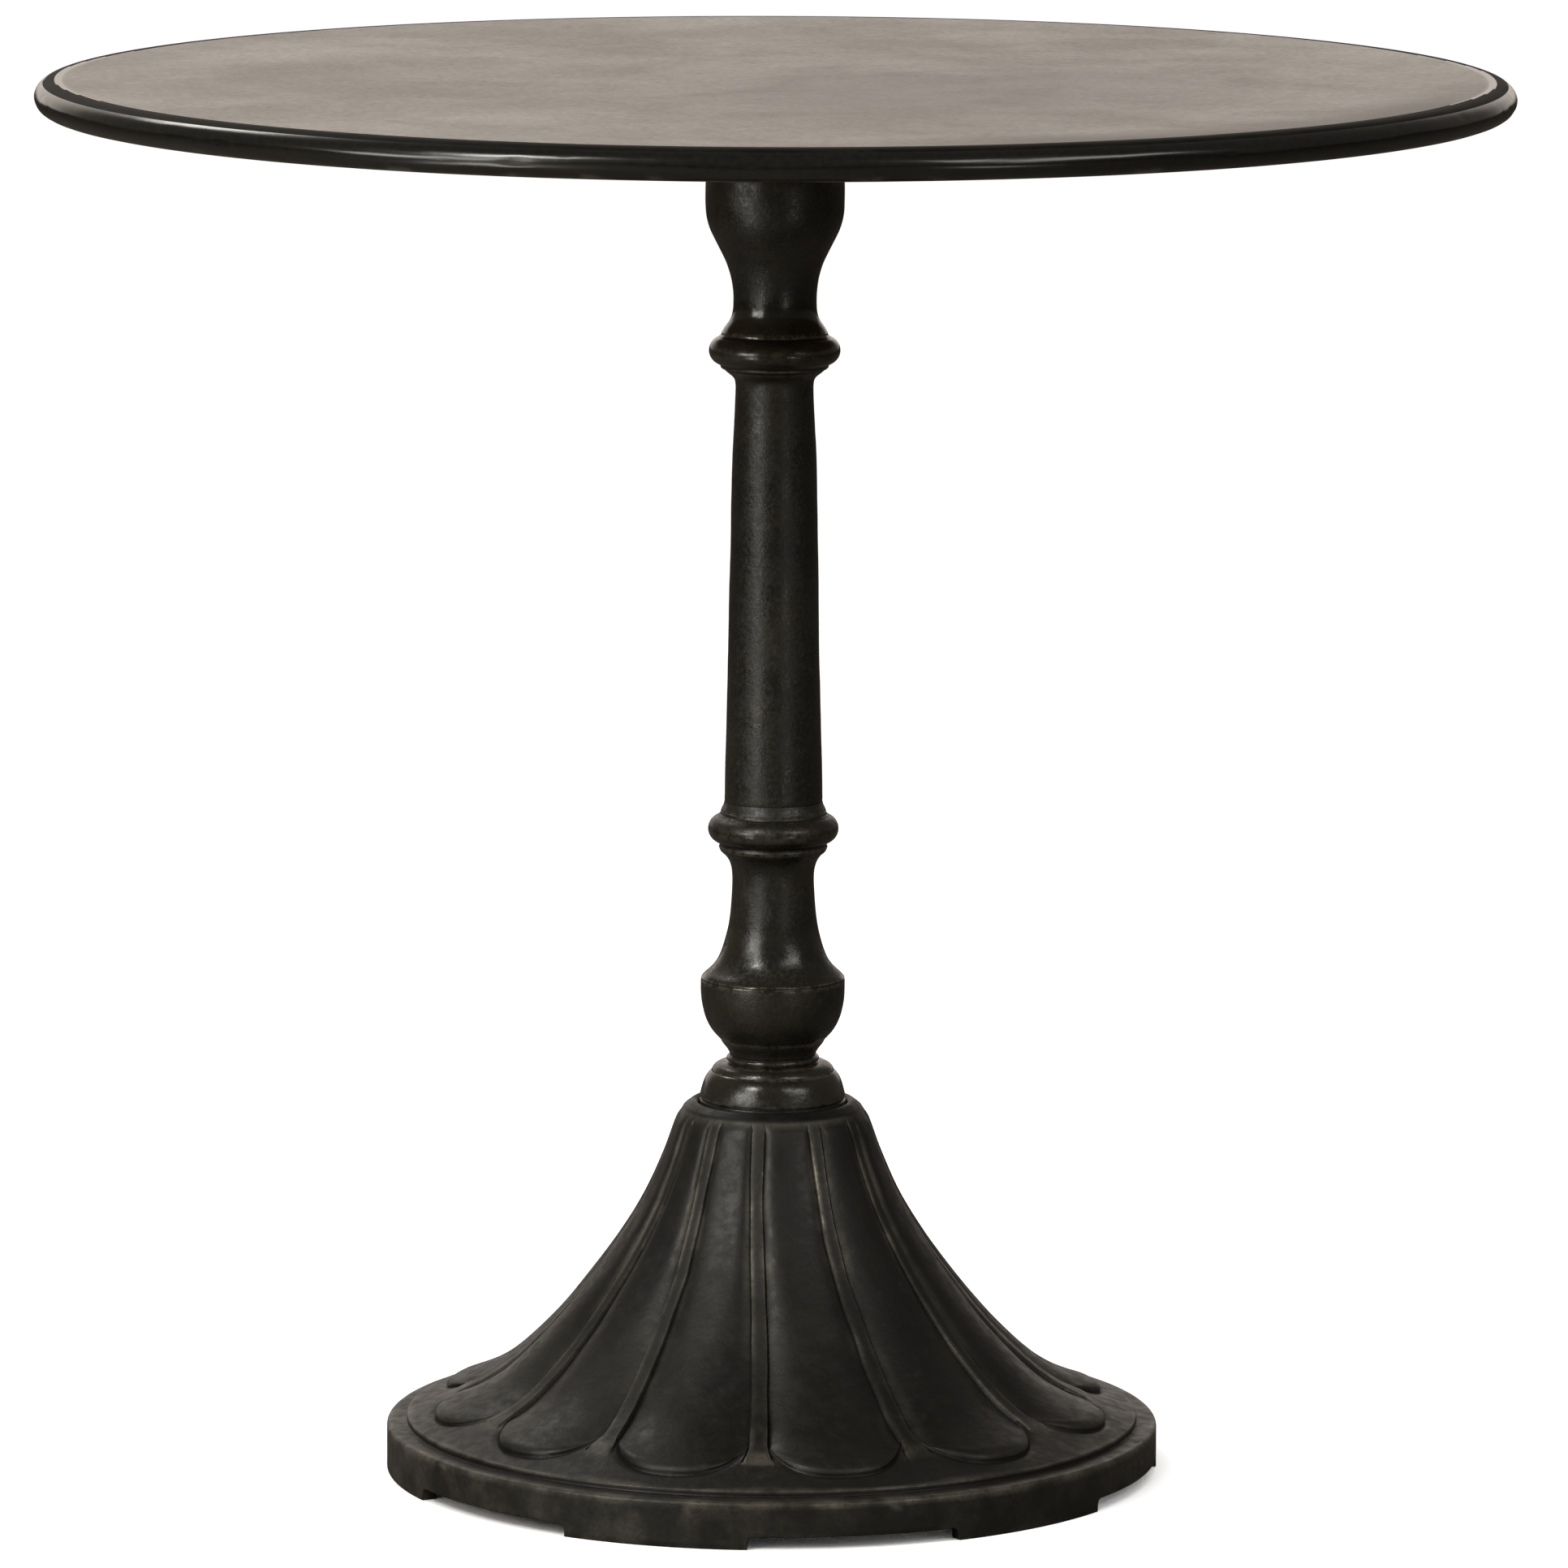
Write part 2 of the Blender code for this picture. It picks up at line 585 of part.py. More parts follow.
def make_base_casting(finish):
    """The one-piece base: mouth, fluted bell, disc, stepped plinth and six feet."""
    lip_centre = (MOUTH_RADIUS + MOUTH_ROUND, MOUTH_CREST - MOUTH_ROUND)
    outline = arc(lip_centre, MOUTH_ROUND, 180, 60, 2)
    outline += [MOUTH_SLOPE]
    first_petal = len(outline)
    outline += [(radius, bell_height(radius)) for radius in BELL_RINGS]
    petal_points = range(first_petal, len(outline) - 1)
    outline += [PLINTH_STEP]
    outline += arc((BASE_RADIUS - PLINTH_EDGE_ROUND, PLINTH_HEIGHT - PLINTH_EDGE_ROUND),
                   PLINTH_EDGE_ROUND, 90, 0, 2)
    outline += [(BASE_RADIUS, 0.0), (BASE_RADIUS - PLINTH_WALL, 0.0)]
    outline += PLINTH_INNER
    for radius in BELL_INNER_RINGS:
        normal = bell_normal(radius)
        outline.append((radius - normal[0] * BELL_WALL, bell_height(radius) - normal[1] * BELL_WALL))
    outline += [(THROAT_RADIUS, SEAT_HEIGHT - WEB_THICKNESS)]
    outline += [(ROD_HOLE_RADIUS, SEAT_HEIGHT - WEB_THICKNESS)]
    outline += [(ROD_HOLE_RADIUS, SEAT_HEIGHT - SOCKET_DEPTH)]
    outline += [(SOCKET_RADIUS, SEAT_HEIGHT - SOCKET_DEPTH), (SOCKET_RADIUS, SEAT_HEIGHT)]
    outline += [(MOUTH_RADIUS, SEAT_HEIGHT)]
    blank = turned("base_blank", outline, BASE_STEPS, finish, petal_points)
    mesh = evaluated_mesh(blank)
    shape_petals(mesh, blank.vertex_groups[PETAL_GROUP].index)
    bpy.data.objects.remove(blank, do_unlink=True)
    base = add_object("base_casting", mesh, finish)
    smooth_shade(base)
    boolean(base, make_notch_cutter())
    return base


# Tie rod -----------------------------------------------------------------------------------------
def make_tie_rod(finish):
    """The long rod that clamps the stack."""
    outline = [
        (0.0, ROD_TOP), (ROD_RADIUS - 0.001, ROD_TOP), (ROD_RADIUS, ROD_TOP - 0.001),
        (ROD_RADIUS, ROD_BOTTOM + 0.001), (ROD_RADIUS - 0.001, ROD_BOTTOM), (0.0, ROD_BOTTOM),
    ]
    return turned("tie_rod", outline, SMALL_STEPS, finish)


def make_washer(name, top, outer_radius, finish):
    """A flat washer with its upper face at top."""
    low = top - WASHER_THICKNESS
    outline = [(outer_radius, top), (outer_radius, low), (ROD_HOLE_RADIUS, low), (ROD_HOLE_RADIUS, top)]
    return turned(name, outline, SMALL_STEPS, finish)


def make_nut(name, low, finish):
    """A hexagon nut standing on low."""
    shape = bmesh.new()
    middle = low + NUT_HEIGHT / 2
    corner = NUT_ACROSS_FLATS / 2 / math.cos(math.pi / 6)
    bmesh.ops.create_cone(shape, cap_ends=True, segments=6, radius1=corner, radius2=corner,
                          depth=NUT_HEIGHT, matrix=Matrix.Translation((0.0, 0.0, middle)))
    mesh = bpy.data.meshes.new(name)
    shape.to_mesh(mesh)
    shape.free()
    nut = add_object(name, mesh, finish)
    boolean(nut, round_cutter(name + "_bore", [(0.0, 0.0)], NUT_BORE_RADIUS, low - CUT_PAST,
                              low + NUT_HEIGHT + CUT_PAST, sides=SMALL_STEPS))
    return nut


def make_tie_rod_fastenings(finish):
    """Washer and nut in the spider's pocket, and two washers and a nut under the bell's web."""
    top_washer_face = NUT_POCKET_FLOOR + GAP + WASHER_THICKNESS
    make_washer("rod_top_washer", top_washer_face, TOP_WASHER_RADIUS, finish)
    make_nut("rod_top_nut", top_washer_face + GAP, finish)
    washer_face = SEAT_HEIGHT - WEB_THICKNESS - GAP
    lock_face = washer_face - WASHER_THICKNESS - GAP
    nut_face = lock_face - WASHER_THICKNESS - GAP
    make_washer("rod_bottom_washer", washer_face, BOTTOM_WASHER_RADIUS, finish)
    make_washer("rod_lock_washer", lock_face, LOCK_WASHER_RADIUS, finish)
    make_nut("rod_bottom_nut", nut_face - NUT_HEIGHT, finish)


def main():
    """Build the whole table."""
    clear_scene()
    sheet = material("blackened_sheet", (0.045, 0.041, 0.035), 0.34, 0.85)
    plywood = material("plywood", (0.36, 0.24, 0.13), 0.70, 0.0)
    iron = material("black_cast_iron", (0.022, 0.021, 0.018), 0.38, 0.70)
    base_iron = material("rubbed_cast_iron", (0.027, 0.026, 0.022), 0.48, 0.65)
    steel = material("zinc_plated_steel", (0.42, 0.42, 0.40), 0.35, 1.0)
    tack_steel = material("blued_steel", (0.05, 0.05, 0.06), 0.35, 1.0)

    make_top_sheet(sheet)
    make_top_core(plywood)
    make_hem_tacks(tack_steel)
    make_top_spider(iron)
    make_spider_screws(steel)
    make_column_capital(iron)
    make_column_shaft(iron)
    make_column_vase(iron)
    make_column_bowl(iron)
    make_base_collar(iron)
    make_base_casting(base_iron)
    make_tie_rod(steel)
    make_tie_rod_fastenings(steel)


main()
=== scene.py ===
"""Looks for the bistro table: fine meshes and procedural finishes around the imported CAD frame.

Lengths are in metres. Azimuths are in degrees, measured round the table from its front (-Y)
towards +X. Random values all come from seeded noise, so each run gives the same result.
"""
import math

import bmesh
import bpy
import numpy as np
from mathutils import Matrix, Vector


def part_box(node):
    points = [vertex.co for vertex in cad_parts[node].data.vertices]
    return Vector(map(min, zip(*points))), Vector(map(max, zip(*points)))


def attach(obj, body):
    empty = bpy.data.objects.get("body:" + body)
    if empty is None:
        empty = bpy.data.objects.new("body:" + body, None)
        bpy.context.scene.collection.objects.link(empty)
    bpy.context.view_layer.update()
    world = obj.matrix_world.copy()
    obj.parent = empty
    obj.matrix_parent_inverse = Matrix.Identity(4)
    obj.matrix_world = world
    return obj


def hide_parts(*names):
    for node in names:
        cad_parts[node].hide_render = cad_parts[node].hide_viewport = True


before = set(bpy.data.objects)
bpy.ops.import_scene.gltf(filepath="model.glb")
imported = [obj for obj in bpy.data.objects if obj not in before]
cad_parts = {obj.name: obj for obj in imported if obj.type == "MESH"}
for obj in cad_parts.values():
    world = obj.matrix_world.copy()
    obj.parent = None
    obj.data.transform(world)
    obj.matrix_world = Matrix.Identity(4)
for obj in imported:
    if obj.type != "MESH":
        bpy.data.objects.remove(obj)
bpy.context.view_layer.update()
scene = bpy.context.scene
GAP = 0.0003                  # clearance between stacked castings


# Noise -------------------------------------------------------------------------------------------
HASH_FACTORS = (374761393, 668265263, 2147483647, 1274126177)
HASH_STIR = 1103515245
HASH_BITS = 0xFFFF


def lattice(x, y, z, seed):
    """A fixed random value from 0 to 1 at each whole-numbered point."""
    mixed = sum(value * factor for value, factor in zip((x, y, z, seed), HASH_FACTORS))
    mixed = (mixed ^ (mixed >> 13)) * HASH_STIR
    mixed = mixed ^ (mixed >> 16)
    return (mixed & HASH_BITS) / HASH_BITS


def value_noise(points, cell, seed):
    """Smooth noise from -1 to 1 at points, with lumps about one cell across."""
    scaled = points / cell
    low = np.floor(scaled).astype(np.int64)
    part = scaled - low
    part = part * part * (3 - 2 * part)
    total = np.zeros(points.shape[:-1])
    for corner in range(8):
        step = [(corner >> axis) & 1 for axis in range(3)]
        weight = np.ones(points.shape[:-1])
        for axis in range(3):
            share = part[..., axis]
            weight = weight * (share if step[axis] else 1 - share)
        total += weight * lattice(*[low[..., axis] + step[axis] for axis in range(3)], seed)
    return 2 * total - 1


def fractal(points, cell, seed, octaves=3):
    """Several sizes of smooth noise added together, each half as large and strong as the last."""
    total = np.zeros(points.shape[:-1])
    for octave in range(octaves):
        total += value_noise(points, cell / 2 ** octave, seed + 17 * octave) / 2 ** octave
    return total / 1.5


def smoothstep(low, high, value):
    share = np.clip((np.asarray(value, float) - low) / (high - low), 0, 1)
    return share * share * (3 - 2 * share)


def band(start, full, fading, end, value):
    """Smoothly up to 1 between start and full, and back to 0 between fading and end."""
    return smoothstep(start, full, value) * (1 - smoothstep(fading, end, value))


# Meshes ------------------------------------------------------------------------------------------
def spline(stations, spacing):
    """Points at about even spacing on a smooth curve through the stations (Catmull-Rom)."""
    knots = [np.array(station, float) for station in stations]
    knots = [2 * knots[0] - knots[1]] + knots + [2 * knots[-1] - knots[-2]]
    made = []
    for a, b, c, d in zip(knots, knots[1:], knots[2:], knots[3:]):
        count = max(1, int(math.ceil(np.linalg.norm(c - b) / spacing)))
        for step in range(count):
            t = step / count
            made.append(0.5 * (2 * b + (c - a) * t + (2 * a - 5 * b + 4 * c - d) * t ** 2
                               + (3 * b - a - 3 * c + d) * t ** 3))
    made.append(knots[-2])
    return [tuple(point) for point in made]


def arc(centre, radius, start, end, count):
    """Points on an arc in the (radius, height) plane, degrees from outward towards up."""
    return [(centre[0] + radius * math.cos(math.radians(angle)),
             centre[1] + radius * math.sin(math.radians(angle)))
            for angle in np.linspace(start, end, count)]


def turned(radius, azimuth, height):
    """Points at a radius, an azimuth and a height."""
    turn = np.radians(np.asarray(azimuth, float))
    across, away = radius * np.sin(turn), -radius * np.cos(turn)
    return np.stack(np.broadcast_arrays(across, away, height), axis=-1)


def ring_points(outline, azimuths):
    """The (radius, height) outline turned through the azimuths: rows by columns by xyz."""
    outline = np.array(outline, float)
    return turned(outline[:, :1], azimuths, outline[:, 1:])


def off_axis(points):
    """Distance of each point from the Z axis."""
    return np.hypot(points[..., 0], points[..., 1])


def unwound(points):
    """Angle of each point round the Z axis from -Y towards +X, in radians."""
    return np.arctan2(points[..., 0], -points[..., 1])


def even_azimuths(count):
    return np.arange(count) * 360.0 / count


def grid_normals(points):
    """Outward normals of a closed grid whose rows run down the outside."""
    across = np.roll(points, -1, axis=1) - np.roll(points, 1, axis=1)
    down = np.roll(points, -1, axis=0) - np.roll(points, 1, axis=0)
    normals = np.cross(down, across)
    return normals / np.maximum(np.linalg.norm(normals, axis=-1, keepdims=True), 1e-12)


def finish_mesh(obj, sharp_angle):
    """Weld the mesh, smooth its faces and keep edges sharper than the angle crisp."""
    shape = bmesh.new()
    shape.from_mesh(obj.data)
    bmesh.ops.remove_doubles(shape, verts=shape.verts, dist=2e-6)
    bmesh.ops.dissolve_degenerate(shape, edges=shape.edges, dist=1e-6)
    for face in shape.faces:
        face.smooth = True
    limit = math.radians(sharp_angle)
    for edge in shape.edges:
        if len(edge.link_faces) == 2 and edge.calc_face_angle(0.0) > limit:
            edge.smooth = False
    shape.to_mesh(obj.data)
    shape.free()


def add_mesh(name, vertices, faces, finish, masks=None, sharp_angle=40.0):
    mesh = bpy.data.meshes.new(name)
    mesh.from_pydata([tuple(vertex) for vertex in vertices], [], faces)
    for label, values in (masks or {}).items():
        layer = mesh.attributes.new(label, "FLOAT", "POINT")
        layer.data.foreach_set("value", np.asarray(values, np.float32).ravel())
    mesh.materials.append(finish)
    obj = bpy.data.objects.new(name, mesh)
    scene.collection.objects.link(obj)
    finish_mesh(obj, sharp_angle)
    return obj


def add_shape(name, shape, *finishes):
    """Put a bmesh in the scene as an object."""
    mesh = bpy.data.meshes.new(name)
    shape.to_mesh(mesh)
    shape.free()
    for finish in finishes:
        mesh.materials.append(finish)
    obj = bpy.data.objects.new(name, mesh)
    scene.collection.objects.link(obj)
    return obj


def grid_object(name, points, finish, masks=None, close_rows=True, sharp_angle=40.0):
    """A mesh from a grid of points whose columns go all the way round."""
    rows, columns = points.shape[:2]
    faces = []
    for row in range(rows if close_rows else rows - 1):
        below = (row + 1) % rows
        for column in range(columns):
            right = (column + 1) % columns
            faces.append((row * columns + column, below * columns + column,
                          below * columns + right, row * columns + right))
    return add_mesh(name, points.reshape(-1, 3), faces, finish, masks, sharp_angle)


def stand_for(obj, slot, *nodes):
    """The piece shows in place of CAD nodes and moves with the table."""
    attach(obj, "root")
    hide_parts(*nodes)
    return obj


def cut(target, cutter, operation="DIFFERENCE"):
    """Apply a boolean with another object, which is then removed."""
    step = target.modifiers.new("cut", "BOOLEAN")
    step.object = cutter
    step.operation = operation
    step.solver = "EXACT"
    bpy.context.view_layer.update()
    evaluated = target.evaluated_get(bpy.context.evaluated_depsgraph_get())
    mesh = bpy.data.meshes.new_from_object(evaluated)
    target.modifiers.clear()
    target.data = mesh
    bpy.data.objects.remove(cutter)


# Finishes ----------------------------------------------------------------------------------------
class Nodes:
    """A node tree under construction."""

    def __init__(self, owner):
        owner.use_nodes = True
        self.tree = owner.node_tree

    def node(self, kind, **settings):
        made = self.tree.nodes.new(kind)
        for key, value in settings.items():
            setattr(made, key, value)
        return made

    def put(self, socket, value):
        """Link a socket, or set it to a plain value."""
        if isinstance(value, bpy.types.NodeSocket):
            self.tree.links.new(value, socket)
        elif value is not None:
            socket.default_value = value

    def show_apart(self, unseen, seen, output):
        """Use one shader for what the camera sees and another for the light it throws."""
        mixed = self.node("ShaderNodeMixShader")
        self.put(mixed.inputs["Fac"], self.node("ShaderNodeLightPath").outputs["Is Camera Ray"])
        self.put(mixed.inputs[1], unseen)
        self.put(mixed.inputs[2], seen)
        self.put(self.tree.nodes[output].inputs["Surface"], mixed.outputs["Shader"])


class Finish(Nodes):
    """A node material under construction."""

    def __init__(self, name):
        self.material = bpy.data.materials.new(name)
        super().__init__(self.material)
        self.shader = self.tree.nodes["Principled BSDF"]
        self.place = self.node("ShaderNodeTexCoord").outputs["Object"]

    def noise(self, scale, detail=3.0, roughness=0.55, distortion=0.0, stretch=None):
        made = self.node("ShaderNodeTexNoise")
        place = self.place
        if stretch:
            mapping = self.node("ShaderNodeMapping")
            self.put(mapping.inputs["Vector"], place)
            mapping.inputs["Scale"].default_value = stretch
            place = mapping.outputs["Vector"]
        self.put(made.inputs["Vector"], place)
        made.inputs["Scale"].default_value = scale
        made.inputs["Detail"].default_value = detail
        made.inputs["Roughness"].default_value = roughness
        made.inputs["Distortion"].default_value = distortion
        return made.outputs["Fac"]

    def mask(self, label):
        return self.node("ShaderNodeAttribute", attribute_name=label).outputs["Fac"]

    def spread(self, value, low, high, to_low=0.0, to_high=1.0):
        """Value from low to high rescaled, smoothly and clamped."""
        made = self.node("ShaderNodeMapRange", interpolation_type="SMOOTHSTEP")
        self.put(made.inputs["Value"], value)
        for label, number in (("From Min", low), ("From Max", high), ("To Min", to_low),
                              ("To Max", to_high)):
            made.inputs[label].default_value = number
        return made.outputs["Result"]

    def maths(self, operation, first, second, clamp=False):
        made = self.node("ShaderNodeMath", operation=operation, use_clamp=clamp)
        self.put(made.inputs[0], first)
        self.put(made.inputs[1], second)
        return made.outputs["Value"]

    def mix(self, share, first, second):
        """From the first to the second, colours or numbers, by a share."""
        if isinstance(second, (tuple, bpy.types.NodeSocketColor)):
            kind, inputs, output = "RGBA", (6, 7), 2
        else:
            kind, inputs, output = "FLOAT", (2, 3), 0
        made = self.node("ShaderNodeMix", data_type=kind)
        self.put(made.inputs["Factor"], share)
        for number, value in zip(inputs, (first, second)):
            self.put(made.inputs[number], value + (1.0,) if isinstance(value, tuple) else value)
        return made.outputs[output]

    def over(self, under, colour, value, low, high, strength=1.0):
        """Lay a colour over what is under it where the value runs from low to high."""
        return self.mix(self.spread(value, low, high, 0.0, strength), under, colour)

    def bump(self, heights):
        """Add bumps from (height, distance in metres) pairs on top of each other."""
        normal = None
        for height, distance in heights:
            made = self.node("ShaderNodeBump")
            made.inputs["Strength"].default_value = 1.0
            made.inputs["Distance"].default_value = distance
            self.put(made.inputs["Height"], height)
            self.put(made.inputs["Normal"], normal)
            normal = made.outputs["Normal"]
        self.put(self.shader.inputs["Normal"], normal)

    def surface(self, colour, roughness, metallic=0.0, **sockets):
        self.put(self.shader.inputs["Base Color"], colour)
        self.put(self.shader.inputs["Roughness"], roughness)
        self.put(self.shader.inputs["Metallic"], metallic)
        for label, value in sockets.items():
            self.shader.inputs[label.replace("_", " ")].default_value = value


def make_column_iron():
    """Black-brown painted cast iron: fine sand grain, slow unevenness, glossy and rubbed bands, and
    painted shade in the recesses.
    """
    f = Finish("column_iron_finish")
    patches = f.noise(26.0, 4.0, 0.6)
    speckle = f.noise(420.0, 2.0, 0.6)
    rubbed = f.spread(f.noise(240.0, 4.0, 0.7), 0.40, 0.62)
    wear = f.maths("MULTIPLY", f.mask("wear"), rubbed)
    gloss = f.mask("gloss")
    paint = f.over((0.0070, 0.0066, 0.0056), (0.0170, 0.0150, 0.0105), patches, 0.35, 0.66)
    paint = f.over(paint, (0.030, 0.027, 0.019), speckle, 0.58, 0.74, 0.5)
    # Painted shade in the recesses, the joints and the bore
    paint = f.mix(f.mask("painted_shade"), paint, (0.0030, 0.0028, 0.0024))
    colour = f.mix(wear, paint, (0.125, 0.112, 0.088))
    rough = f.spread(f.noise(60.0, 4.0, 0.65), 0.3, 0.7, 0.30, 0.46)
    rough = f.maths("ADD", rough, f.spread(speckle, 0.35, 0.65, -0.07, 0.09))
    rough = f.mix(gloss, f.mix(wear, rough, 0.34), 0.17)
    f.surface(colour, rough, f.mix(wear, 0.0, 0.75), Specular_IOR_Level=0.42)
    cast_skin = f.maths("SUBTRACT", 1.0, f.maths("MULTIPLY", gloss, 0.75))
    sand = [(f.maths("MULTIPLY", f.noise(scale, detail, 0.6), cast_skin), depth)
            for scale, detail, depth in ((300.0, 2.0, 0.00016), (620.0, 2.0, 0.00013),
                                         (900.0, 3.0, 0.00005))]
    f.bump([(f.noise(58.0, 2.0, 0.5), 0.00034)] + sand)
    return f.material


def make_base_iron():
    """Duller base iron: black paint rubbed through to olive and brass-grey metal on the edges, in
    places brightened as a painted highlight, with painted shade in the hollows.
    """
    f = Finish("base_iron_finish")
    mottle = f.noise(120.0, 4.0, 0.65)
    rub = f.maths("MULTIPLY", f.spread(f.noise(38.0, 3.0, 0.6), 0.36, 0.66, 0.25, 1.5),
                  f.spread(f.noise(420.0, 3.0, 0.7), 0.25, 0.60, 0.45, 1.0))
    wear = f.maths("MULTIPLY", f.mask("wear"), rub, True)
    paint = f.over((0.0040, 0.0039, 0.0036), (0.0092, 0.0085, 0.0070),
                   f.noise(17.0, 5.0, 0.6), 0.32, 0.70)
    paint = f.over(paint, (0.022, 0.0205, 0.0165), mottle, 0.55, 0.80, 0.55)
    # Painted shade in the grooves, the mouth, the step, under the lobes and inside
    paint = f.mix(f.mask("painted_shade"), paint, (0.0028, 0.0027, 0.0024))
    colour = f.mix(wear, paint, (0.215, 0.200, 0.165))
    colour = f.mix(f.mask("chips"), colour, (0.36, 0.33, 0.27))
    rough = f.mix(wear, f.spread(mottle, 0.35, 0.7, 0.43, 0.58), 0.36)
    f.surface(colour, rough, f.mix(wear, 0.0, 0.8), Specular_IOR_Level=0.33)
    f.bump([(f.noise(90.0, 2.0, 0.5), 0.00026), (f.noise(330.0, 3.0, 0.6), 0.00012),
            (f.noise(800.0, 3.0, 0.6), 0.00004)])
    return f.material


def make_sheet_metal():
    """Patinated sheet metal: cloudy mottling, dull patches, a darker polished rim."""
    f = Finish("sheet_finish")
    clouds = f.noise(5.5, 5.0, 0.62, 0.6)
    patches = f.noise(17.0, 4.0, 0.6, 0.5)
    speckle = f.noise(300.0, 3.0, 0.6)
    rim = f.mask("rim")
    dull = f.mask("dull")
    cloudy = f.maths("ADD", f.maths("MULTIPLY", clouds, 0.65), f.maths("MULTIPLY", patches, 0.35))
    patina = f.over((0.074, 0.062, 0.050), (0.118, 0.102, 0.084), cloudy, 0.38, 0.62)
    patina = f.over(patina, (0.060, 0.050, 0.040), speckle, 0.58, 0.76, 0.5)
    patina = f.mix(dull, patina, (0.062, 0.052, 0.042))
    polished = f.over((0.0042, 0.0041, 0.0037), (0.0086, 0.0083, 0.0070), speckle, 0.3, 0.7)
    colour = f.mix(f.mask("wear"), f.mix(rim, patina, polished), (0.20, 0.185, 0.155))
    rough = f.maths("ADD", f.spread(cloudy, 0.35, 0.65, 0.29, 0.38),
                    f.spread(speckle, 0.3, 0.7, -0.03, 0.03))
    rough = f.mix(rim, f.mix(dull, rough, 0.46), 0.215)
    f.surface(colour, rough, f.mix(rim, 0.55, 0.1), Specular_IOR_Level=0.5)
    f.bump([(f.noise(14.0, 2.0, 0.5), 0.0006), (f.noise(60.0, 3.0, 0.6), 0.00008),
            (speckle, 0.000015)])
    return f.material


def make_rim_shade_band():
    """Matt black band of painted shade with brown rubbed spots."""
    f = Finish("rim_shade_band_finish")
    patches = f.noise(45.0, 4.0, 0.65)
    speckle = f.noise(380.0, 3.0, 0.6)
    lacquer = f.over((0.0050, 0.0049, 0.0044), (0.0120, 0.0110, 0.0090), patches, 0.35, 0.7)
    lacquer = f.over(lacquer, (0.030, 0.026, 0.021), speckle, 0.60, 0.78, 0.6)
    f.surface(lacquer, f.mix(patches, 0.50, 0.66), 0.0, Specular_IOR_Level=0.03)
    f.bump([(patches, 0.00012), (speckle, 0.00003)])
    return f.material


def make_plywood():
    """Rotary-cut birch face veneer with long soft grain and a few darker lines."""
    f = Finish("plywood_finish")
    grain = f.noise(3.2, 6.0, 0.62, 1.4, stretch=(1.0, 9.0, 1.0))
    fibre = f.noise(60.0, 4.0, 0.7, 0.4, stretch=(1.0, 14.0, 1.0))
    pores = f.noise(240.0, 2.0, 0.6, 0.0, stretch=(1.0, 7.0, 1.0))
    wood = f.over((0.42, 0.28, 0.155), (0.24, 0.145, 0.075), grain, 0.32, 0.68)
    wood = f.over(wood, (0.17, 0.10, 0.052), fibre, 0.45, 0.75, 0.55)
    wood = f.over(wood, (0.09, 0.055, 0.03), pores, 0.66, 0.78, 0.6)
    f.surface(wood, f.mix(fibre, 0.52, 0.74), 0.0)
    f.bump([(fibre, 0.00020), (pores, 0.00010)])
    return f.material


def make_steel(name, bright, dark, low_rough, high_rough):
    """Plated or blued steel: crystalline patches and uneven shine."""
    f = Finish(name)
    cells = f.node("ShaderNodeTexVoronoi")
    f.put(cells.inputs["Vector"], f.place)
    cells.inputs["Scale"].default_value = 520.0
    tone = f.noise(180.0, 4.0, 0.6)
    share = f.maths("ADD", f.maths("MULTIPLY", cells.outputs["Distance"], 0.5),
                    f.maths("MULTIPLY", tone, 0.6))
    colour = f.over(bright, dark, share, 0.25, 0.75)
    f.surface(colour, f.spread(tone, 0.3, 0.7, low_rough, high_rough), 1.0)
    f.bump([(tone, 0.00008), (f.noise(1400.0, 2.0, 0.5), 0.00002)])
    return f.material


COLUMN_IRON = make_column_iron()
BASE_IRON = make_base_iron()
SHEET = make_sheet_metal()
RIM_SHADE_BAND = make_rim_shade_band()
PLYWOOD = make_plywood()
ZINC = make_steel("zinc_finish", (0.52, 0.52, 0.50), (0.33, 0.33, 0.32), 0.28, 0.46)
BLUED = make_steel("blued_finish", (0.075, 0.078, 0.095), (0.035, 0.036, 0.042), 0.26, 0.44)


# Base casting ------------------------------------------------------------------------------------
BASE_RADIUS = 0.2108
PLINTH_WALL = 0.0085
PLINTH_HEIGHT = 0.0257
PLINTH_EDGE_ROUND = 0.0023
DISC_RADIUS = 0.1994
MOUTH_RADIUS = 0.0402
MOUTH_CREST = 0.2035
SEAT_HEIGHT = 0.1987
WEB_THICKNESS = 0.0120
SOCKET_RADIUS = 0.0163
SOCKET_DEPTH = 0.0063
SPIGOT_RADIUS = 0.0160
SPIGOT_LENGTH = 0.0055
BORE_RADIUS = 0.0130
ROD_HOLE_RADIUS = 0.0085
BELL_CURVE = (
    (0.0495, 0.1985), (0.0530, 0.1915), (0.0600, 0.1720), (0.0700, 0.1495), (0.0830, 0.1275),
    (0.1000, 0.1038), (0.1200, 0.0792), (0.1400, 0.0590), (0.1550, 0.0478), (0.1720, 0.0395),
    (0.1860, 0.0342), (DISC_RADIUS, 0.0295),
)
PETALS = 12
PITCH = 360.0 / PETALS
RIB_COLUMNS = 8
PETAL_COLUMNS = 24
SECTOR_COLUMNS = RIB_COLUMNS + PETAL_COLUMNS
RIB_AZIMUTH = -1.5
PETAL_START = 0.0495
LOBE_END = 0.1860             # radius where the middle of a petal ends
LOBE_SHOULDER = 0.0255        # how much sooner it ends beside the ribs
LOBE_SHAPE = 2.6
LOBE_ROUND = 0.0067           # length of the rounded end
LOBE_ROUND_START = 0.1795
BEND_START = 0.0980
RIB_END = 0.1725
NOTCH_START = -3.5
NOTCH_SPAN = 32.0
NOTCH_HEIGHT = 0.0068
NOTCH_CORNER = 0.0040
NOTCH_PERIOD = 60.0
FOOT_STEPS = 29
NOTCH_STEPS = 23
BELL_WALL = 0.0065
LIP_ROUND = 0.0030
CAST_SKIN = 0.00020           # unevenness of the casting
DENT_DEPTH = 0.0008

